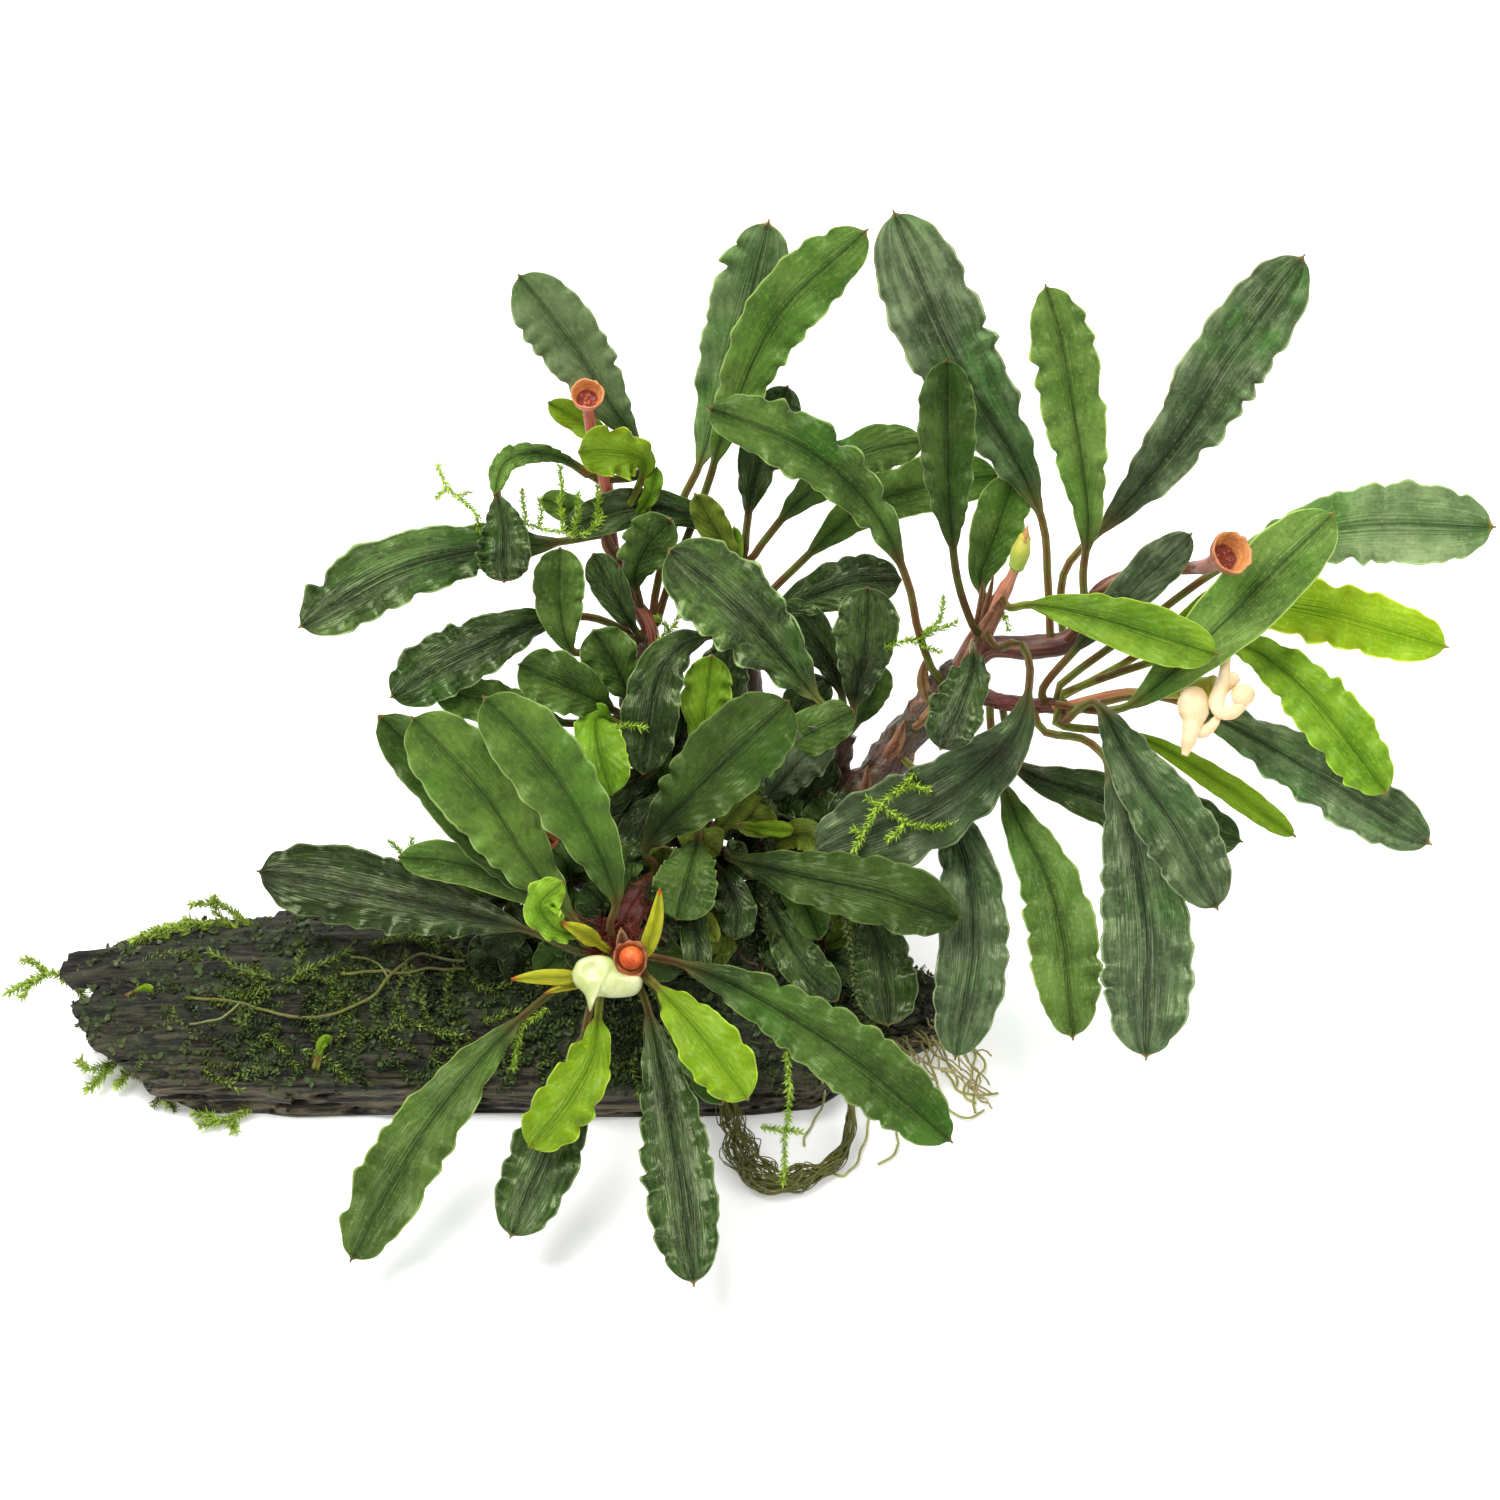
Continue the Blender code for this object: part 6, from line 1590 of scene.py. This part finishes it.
class PLANT_OT_strands(bpy.types.Operator):
    """Grow the moss strands on the wood, in the air and among the rhizomes"""
    bl_idname = "plant.strands"
    bl_label = "Moss strands"

    def execute(self, context):
        settings = context.scene.plant_settings
        chance = random.Random(5)
        dark, green, pale = fronds_on_wood(settings.lying_fronds, chance)
        inside = clump_of_strands(settings.clump_strands, chance)
        lying = straying_on_wood(WOOD_STRANDS, 0.9, 0.6)
        for name, lines, smallest, largest, wider, colours in (
            ("strands_free", straying(FREE_STRANDS), 0.0011, 0.0019, 1.0,
             ("moss_fresh", (112, 150, 26), (176, 204, 72), (140, 176, 44))),
            ("tufts_at_ends", straying(END_TUFTS), 0.0014, 0.0025, 0.9,
             ("moss_tufts", (112, 142, 40), (184, 204, 92), (146, 174, 62))),
            # Painted shade: the shaded strands get darker moss colours than the ones on the wood.
            ("strands_shaded", straying(SHADED_STRANDS), 0.0009, 0.0016, 1.3,
             ("moss_shaded", (34, 48, 18), (80, 98, 38), (56, 72, 26))),
            ("strands_on_wood", lying, 0.0012, 0.0021, 1.0,
             ("moss_lying", (64, 84, 30), (128, 150, 62), (98, 120, 46))),
            ("fronds_dark", dark, 0.0010, 0.0015, 1.15,
             ("moss_frond_dark", (26, 39, 22), (62, 80, 40), (58, 70, 34))),
            ("fronds_green", green, 0.0010, 0.0015, 1.15,
             ("moss_frond_green", (44, 62, 32), (84, 106, 48), (66, 86, 40))),
            ("fronds_pale", pale, 0.0010, 0.0015, 1.15,
             ("moss_frond_pale", (66, 82, 36), (112, 130, 58), (94, 110, 48))),
            ("strands_inside", inside, 0.0012, 0.0020, 2.2,
             ("moss_inside", (22, 30, 12), (66, 84, 30), (40, 52, 20))),
        ):
            bright = name in ("strands_free", "tufts_at_ends")
            width, count = (0.32, 3) if bright or name == "strands_on_wood" else (0.60, 2)
            leaflet = tuft_source("leaflet", width, 54, count)
            item = lines_object(name, lines)
            strand_tree().grow(item, **{
                "Spacing": settings.strand_spacing * wider, "Leaflet": leaflet, "Smallest": smallest,
                "Largest": largest, "Stem radius": MOSS_STEM, "Seed": 3,
                "Material": moss_finish(*colours),
            })
            drop(leaflet)
            rest_on_floor(item)
            declare(item, "leaf_lime" if bright else "leaf_dark")
        return {"FINISHED"}


class PLANT_OT_leaves(bpy.types.Operator):
    """Make the large leaves with their stalks, each in place of its solid"""
    bl_idname = "plant.leaves"
    bl_label = "Large leaves"

    def execute(self, context):
        finishes = leaf_finishes()
        for leaf in LARGE_LEAVES:
            add_leaf_piece(leaf, finishes, context.scene.plant_settings.leaf_steps, leaf.name)
        return {"FINISHED"}


def inner_targets(chance):
    """Places that the leaves inside the plant reach for, as u, v."""
    targets = list(INNER_PLACES)
    for number in range(66):
        u = -3.0 + 7.4 * (number % 11) + chance.uniform(-2.0, 2.0)
        v = 15.0 + 7.0 * (number // 11) + chance.uniform(-2.0, 2.0)
        targets.append((u, min(v, 49.5 - 0.05 * max(0.0, u - 40.0))))
    return targets


class PLANT_OT_small_leaves(bpy.types.Operator):
    """Make the small leaves and bracts that grow from the rhizomes and stems"""
    bl_idname = "plant.small_leaves"
    bl_label = "Small leaves"

    def execute(self, context):
        finishes = leaf_finishes()
        for node, leaves in SMALL_LEAVES.items():
            for leaf in leaves:
                add_leaf_piece(leaf, finishes, SMALL_LEAF_STEPS, node)
        for number, spots in enumerate(WOOD_LEAFLETS):
            route = [(u, v, on_wood(u, v, 0.9).dot(TO_VIEWER) / MM) for u, v in spots]
            leaf = Leaf("leaf_wood_%d" % number, "lime", 2.6, 0.05, route, 0.3, 3.0)
            add_leaf_piece(leaf, finishes, SMALL_LEAF_STEPS)
        # Dark leaves fill the inside of the plant, one for every place behind the large ones.
        chance = random.Random(12)
        shells = {tint: Shell("leaf", *LEAF_NUMBERS) for tint in ("dark", "green", "olive")}
        for number, (u, v) in enumerate(inner_targets(chance)):
            start = min(INNER_STARTS, key=lambda spot: (spot[0] - u) ** 2 + (spot[1] - v) ** 2)
            w = start[2] + chance.uniform(2.0, 7.0)
            away = Vector((u - start[0], v - start[1]))
            away = away.normalized() * max(8.0, away.length + 3.0)
            middle = (start[0] + away.x * 0.5 + chance.uniform(-3.0, 3.0), start[1] + away.y * 0.5, w)
            path = [start, middle, (start[0] + away.x, start[1] + away.y, w + chance.uniform(-3.0, 2.0))]
            tint = chance.choice(("dark", "dark", "dark", "green", "green", "olive"))
            leaf = Leaf("inner_%d" % number, tint, chance.uniform(8.0, 11.0), 0.12, path, 1.0, 3.0, 0.8)
            grow_leaf(shells[tint], leaf, INNER_LEAF_STEPS, False)
        for tint, shell in shells.items():
            shell.piece("inner_" + tint, finishes[tint], LEAF_SLOTS[tint], "rhizome_left")
        return {"FINISHED"}


made_finishes = {}


def leaf_finishes():
    """The materials of the leaves by tint, made once."""
    if not made_finishes:
        made_finishes.update({tint: leaf_finish(tint) for tint in TINTS})
    return made_finishes


class PLANT_OT_rhizomes(bpy.types.Operator):
    """Make the creeping rhizomes and the thick side branch"""
    bl_idname = "plant.rhizomes"
    bl_label = "Rhizomes"

    def execute(self, context):
        brown = bark_finish("rhizome_brown", (34, 20, 13), (96, 64, 44), (168, 120, 90), 0.35)
        red = bark_finish("rhizome_red", (54, 19, 12), (118, 50, 31), (156, 92, 62), 0.15)
        for number, (name, node, finish, radii) in enumerate((
            ("front_rhizome", "rhizome_front", red, (3.0, 3.0, 2.8, 2.6)),
            ("left_rhizome", "rhizome_left", brown, (2.6, 2.8, 2.4, 2.4, 2.0)),
            ("upper_rhizome", "rhizome_upper", brown, (2.2, 2.2, 2.0, 1.9, 1.6)),
            ("right_rhizome", "rhizome_right", brown, (3.4, 3.6, 3.8, 3.5, 2.7)),
            ("side_rhizome", "rhizome_right", brown, (1.8, 2.0, 1.8)),
            ("right_branch", "branch_right", red, (2.2, 1.7, 1.5, 1.0)),
        )):
            shell = Shell("stem")
            grow_tube(shell, view_route(STEM_ROUTES[name]), radii, 32, 20, 0.30, 380.0, seed=number * 3.0)
            shell.piece(name, finish, "rhizome", node)
        return {"FINISHED"}


def resized(mouth, size, radius=None, torn=1.0):
    """The same mouth of a cup in another size."""
    return [(row[0] * size, row[1] * (radius or size), row[2] * torn, row[3]) for row in mouth]


class PLANT_OT_stems(bpy.types.Operator):
    """Make the red stems with their two spent cups and the bud"""
    bl_idname = "plant.stems"
    bl_label = "Cups and bud"

    def execute(self, context):
        red = stem_finish("stem_red", (110, 50, 38), (196, 100, 80), (210, 140, 112))
        rosy = stem_finish("stem_brown", (70, 34, 26), (150, 84, 58), (178, 118, 90), (0.2, 0.75))
        sheathed = stem_finish("stem_sheathed", (104, 56, 36), (176, 112, 84), (204, 160, 126), (0.2, 0.9))
        green = stem_finish("bud_skin", (140, 168, 56), (186, 178, 66), (168, 186, 84))
        tip = stem_finish("bud_tip", (170, 132, 66), (190, 116, 70), (206, 150, 100))
        for number, (name, finish, node, radii, mouth, way) in enumerate((
            ("cup_stem_left", red, "stem_with_cup_left", (1.9, 1.7, 1.5, 1.2, 1.3, 1.4, 1.1, 1.1),
             CUP_MOUTH, (0.05, 0.42, 1.0)),
            ("cup_stem_right", rosy, "stem_with_cup_right", (2.2, 2.2, 2.5, 2.2, 1.4, 1.3, 1.3, 1.6, 1.8),
             resized(CUP_MOUTH, 1.2, 1.3, 1.2), (0.5, 0.3, 1.0)),
            ("cup_stem_front", red, "rhizome_front", (1.2, 1.0, 1.1),
             resized(CUP_MOUTH, 0.7, 0.75), (0.0, 0.75, 0.75)),
            ("bud_stem", sheathed, "stem_with_bud", (2.4, 2.4, 2.0, 1.5, 1.0, 1.0), (), None),
            ("bud", green, "stem_with_bud", (0.9, 1.6, 1.95, 1.3, 0.5), (), None),
            ("bud_point", tip, "stem_with_bud", (0.35, 0.6, 0.15), (), None),
        )):
            route = BUD_ROUTES[name] if name in BUD_ROUTES else STEM_ROUTES[name]
            shell = Shell("stem", "cup")
            grow_tube(shell, view_route(route), radii, 28, 10, 0.06, 450.0, mouth, way, number * 2.3)
            shell.piece(name, finish, "red_stem", node)
        return {"FINISHED"}


class PLANT_OT_flowers(bpy.types.Operator):
    """Make the two open flowers: ball and hood at the front, pale lobes at the right"""
    bl_idname = "plant.flowers"
    bl_label = "Flowers"

    def execute(self, context):
        brown = stem_finish("cup_brown", (84, 36, 22), (146, 76, 46), (178, 110, 74))
        shell = Shell("stem", "cup")
        route = view_route(((24.8, 15.6, 34.4), (25.8, 16, 38)))
        grow_tube(shell, route, (1.2, 1.5), 32, 6, 0.1, 400.0, BALL_MOUTH, (0.05, 0.05, 1.0), 4.0)
        shell.piece("ball_cup", brown, "red_stem", "spadix")

        orange = flesh_finish("ball_orange", (238, 118, 34), (200, 70, 16), 1700.0, 0.4, 0.9)
        shell = Shell("stem")
        grow_round(shell, place(26.2, 16.4, 43.2), (2.35, 2.3, 2.3), 0.05, 1300.0)
        shell.piece("ball", orange, "spadix_orange", "spadix")

        cream = flesh_finish("hood_cream", (212, 214, 168), (176, 190, 110), 700.0, 0.35, 0.2)
        shell = Shell("stem")
        grow_hood(shell)
        shell.piece("hood", cream, "flower_cream", "spathe")

        green = stem_finish("receptacle", (176, 98, 66), (168, 176, 40), (196, 170, 80), (0.35, 0.7))
        shell = Shell("stem", "cup")
        grow_tube(shell, view_route(RECEPTACLE_ROUTE), (0.6, 0.7, 0.7, 1.0, 2.3, 2.4), 24, 10, 0.04, 500.0)
        shell.piece("receptacle", green, "flower_cream", "flower_right")

        peach = flesh_finish("lobe_peach", (246, 224, 184), (236, 204, 154), 900.0, 0.45, 0.4)
        shell = Shell("stem")
        for route, radii in PALE_LOBES:
            grow_tube(shell, view_route(route), radii, 24, 10, 0.05, 500.0)
        grow_round(shell, place(148.5, 69.0, 36.0), (2.4, 2.3, 2.2), 0.12, 500.0)
        shell.piece("pale_flower", peach, "flower_cream", "flower_right")
        return {"FINISHED"}


def loop_threads(count, chance):
    """Threads that twist round each other along the loop of roots."""
    curve = smooth_route([Vector(point) * MM for point in LOOP_ROUTE], 10)
    lengths = lengths_along(curve)
    threads = []
    for number in range(count):
        start = chance.random() * 0.35 * (number % 3)
        stop = 1.0 if number % 4 == 0 else start + chance.uniform(0.3, 0.75)
        angle = chance.random() * 6.28
        twist = chance.uniform(-9.0, 9.0)
        line = []
        for step in range(THREAD_STEPS + 1):
            share = min(start + (stop - start) * step / THREAD_STEPS, 1.0)
            point, along = at_share(curve, lengths, share)
            side = along.cross(Vector((0, 0, 1))).normalized()
            up = side.cross(along)
            near = share * (len(LOOP_RADII) - 1)
            low = min(int(near), len(LOOP_RADII) - 2)
            spread = LOOP_RADII[low] + (LOOP_RADII[low + 1] - LOOP_RADII[low]) * (near - low)
            spread *= (0.25 if number % 3 == 0 else 0.55) + 0.8 * abs(uneven(share * 7, number, 2))
            turn = angle + twist * share + 2.6 * uneven(share * 6, number * 3.0, 8)
            line.append(point + (side * math.cos(turn) + up * math.sin(turn)) * spread * MM)
        threads.append(above_floor(line))
    return threads


def tangle_threads(count, chance):
    """Roots that hang from the wood's right end to the floor."""
    threads = []
    for number in range(count):
        start = Vector(drawn(chance, (74, 84), (-2, 6), (3, 8)))
        end = Vector(drawn(chance, (84, 99), (-25, -6), (0.4, 4.0)))
        middle = (start + end) / 2.0 + Vector(drawn(chance, (-5, 5), (-4, 4), (-1, 3)))
        line = wander([start * MM, middle * MM, end * MM], 2.2, number * 2.1, 12)
        threads.append(above_floor(line))
    return threads


def inside_threads(count, chance):
    """Roots that hang among the rhizomes."""
    threads = []
    for number in range(count):
        start = chance_spot(chance, CLUMP_ROUTES)
        end = start + seen_way(*drawn(chance, (-8, 8), (-3, -12), (0, 8))) * MM
        threads.append(wander([start, (start + end) / 2.0, end], 1.6, number * 1.3, 8))
    return threads


def crown_hairs(count, chance):
    """Short hairs that stand on the front crown."""
    hairs = []
    for number in range(count):
        right, up, near = drawn(chance, (-5.0, 3.4), (-3.4, 5.6), (29.0, 33.0))
        start = place(24.0 + right, 18.4 + up, near)
        way = seen_way(*drawn(chance, (-1, 1), (-1, 1), (0.2, 1.0))).normalized()
        hairs.append(wander([start, start + way * chance.uniform(1.6, 4.2) * MM], 0.4, number, 5))
    return hairs


class PLANT_OT_roots(bpy.types.Operator):
    """Make the looped root bundle and the thin roots on the wood"""
    bl_idname = "plant.roots"
    bl_label = "Roots"

    def execute(self, context):
        radius = context.scene.plant_settings.root_radius
        olive = bark_finish("root_olive", (68, 66, 24), (130, 130, 50), (152, 150, 74), 0.4)
        brown = bark_finish("root_brown", (54, 34, 20), (112, 76, 46), (150, 112, 76), 0.3)
        tan = bark_finish("root_tan", (128, 116, 62), (194, 182, 122), (216, 206, 160), 0.3)
        pale = bark_finish("root_pale", (136, 138, 62), (198, 196, 118), (216, 212, 156), 0.3)
        red = bark_finish("hair_red", (74, 20, 14), (136, 50, 34), (156, 84, 60))
        chance = random.Random(21)
        on_floor = [above_floor(line) for line in straying_on_wood(FLOOR_ROOTS, 0.4, 0.9)]
        on_wood_top = straying_on_wood(WOOD_ROOTS, 1.5, 0.5, 10)
        for name, lines, thickness, finish, slot, nodes in (
            ("root_bundle", loop_threads(96, chance), 0.55, olive, "root", ("root_loop",)),
            ("roots_right", tangle_threads(22, chance), 0.9, tan, "root", ()),
            ("roots_on_floor", on_floor, 1.25, pale, "root", ()),
            ("roots_on_wood", on_wood_top, 1.35, olive, "root", ()),
            ("roots_inside", inside_threads(70, chance), 1.0, brown, "root", ()),
            ("crown_hairs", crown_hairs(290, chance), 0.6, red, "rhizome", ()),
        ):
            item = lines_object(name, lines)
            hair_tree().grow(item, Radius=radius * thickness, Material=finish)
            declare(item, slot, *nodes)
        return {"FINISHED"}


class PLANT_OT_stage(bpy.types.Operator):
    """Set the white board, the soft lights and the camera"""
    bl_idname = "plant.stage"
    bl_label = "Floor, lights and camera"

    def execute(self, context):
        scene = context.scene
        board = bmesh.new()
        bmesh.ops.create_grid(board, x_segments=1, y_segments=1, size=BOARD_HALF)
        mesh = bpy.data.meshes.new("board")
        board.to_mesh(mesh)
        board.free()
        mesh.transform(Matrix.Translation((0.0, 0.0, BOARD_TOP)))
        plain_object("board", mesh, floor_finish())
        scene.world = bpy.data.worlds.new("studio")
        scene.world.use_nodes = True
        background = scene.world.node_tree.nodes["Background"]
        background.inputs["Color"].default_value = (1.0, 1.0, 0.99, 1.0)
        background.inputs["Strength"].default_value = 0.48
        scene.view_settings.view_transform = "Standard"
        middle = place(*VIEW_CENTRE, 0.0)
        for name, spot, size, power in (
            ("key", (-0.45, -0.05, 1.15), 0.8, 19.0),
            ("fill", (0.9, -0.6, 0.9), 0.9, 6.0),
            ("back", (0.3, 1.0, 0.8), 1.1, 8.0),
        ):
            lamp = bpy.data.lights.new(name, "AREA")
            lamp.size = size
            lamp.energy = power
            item = put(name, lamp)
            item.location = Vector(spot) + middle
            item.rotation_euler = (middle - item.location).to_track_quat("-Z", "Y").to_euler()
        camera = bpy.data.cameras.new("front_view")
        camera.sensor_width = SENSOR_WIDTH
        camera.lens = SENSOR_WIDTH * VIEW_DISTANCE / PICTURE_WIDTH
        camera.clip_end = 20.0
        scene.camera = put("front_view", camera)
        scene.camera.location = middle + TO_VIEWER * VIEW_DISTANCE * MM
        scene.camera.rotation_euler = (math.radians(90.0) - VIEW_ELEVATION, 0.0, 0.0)
        return {"FINISHED"}


class PLANT_PT_panel(bpy.types.Panel):
    """Lists the pieces of the plant"""
    bl_idname = "PLANT_PT_panel"
    bl_label = "Plant on driftwood"
    bl_space_type = "VIEW_3D"
    bl_region_type = "UI"
    bl_category = "Plant"

    def draw(self, context):
        settings = context.scene.plant_settings
        for name in settings.bl_rna.properties.keys():
            if name not in ("rna_type", "name"):
                self.layout.prop(settings, name)
        for operator in OPERATORS:
            self.layout.operator(operator.bl_idname)


OPERATORS = (
    PLANT_OT_stage,
    PLANT_OT_wood,
    PLANT_OT_wood_moss,
    PLANT_OT_strands,
    PLANT_OT_rhizomes,
    PLANT_OT_stems,
    PLANT_OT_flowers,
    PLANT_OT_roots,
    PLANT_OT_leaves,
    PLANT_OT_small_leaves,
)
CLASSES = (PlantSettings, *OPERATORS, PLANT_PT_panel)


def register():
    for each in CLASSES:
        bpy.utils.register_class(each)
    bpy.types.Scene.plant_settings = bpy.props.PointerProperty(type=PlantSettings)


def unregister():
    del bpy.types.Scene.plant_settings
    for each in reversed(CLASSES):
        bpy.utils.unregister_class(each)


def main():
    register()
    for operator in OPERATORS:
        group, action = operator.bl_idname.split(".")
        getattr(getattr(bpy.ops, group), action)()


if __name__ == "__main__":
    main()
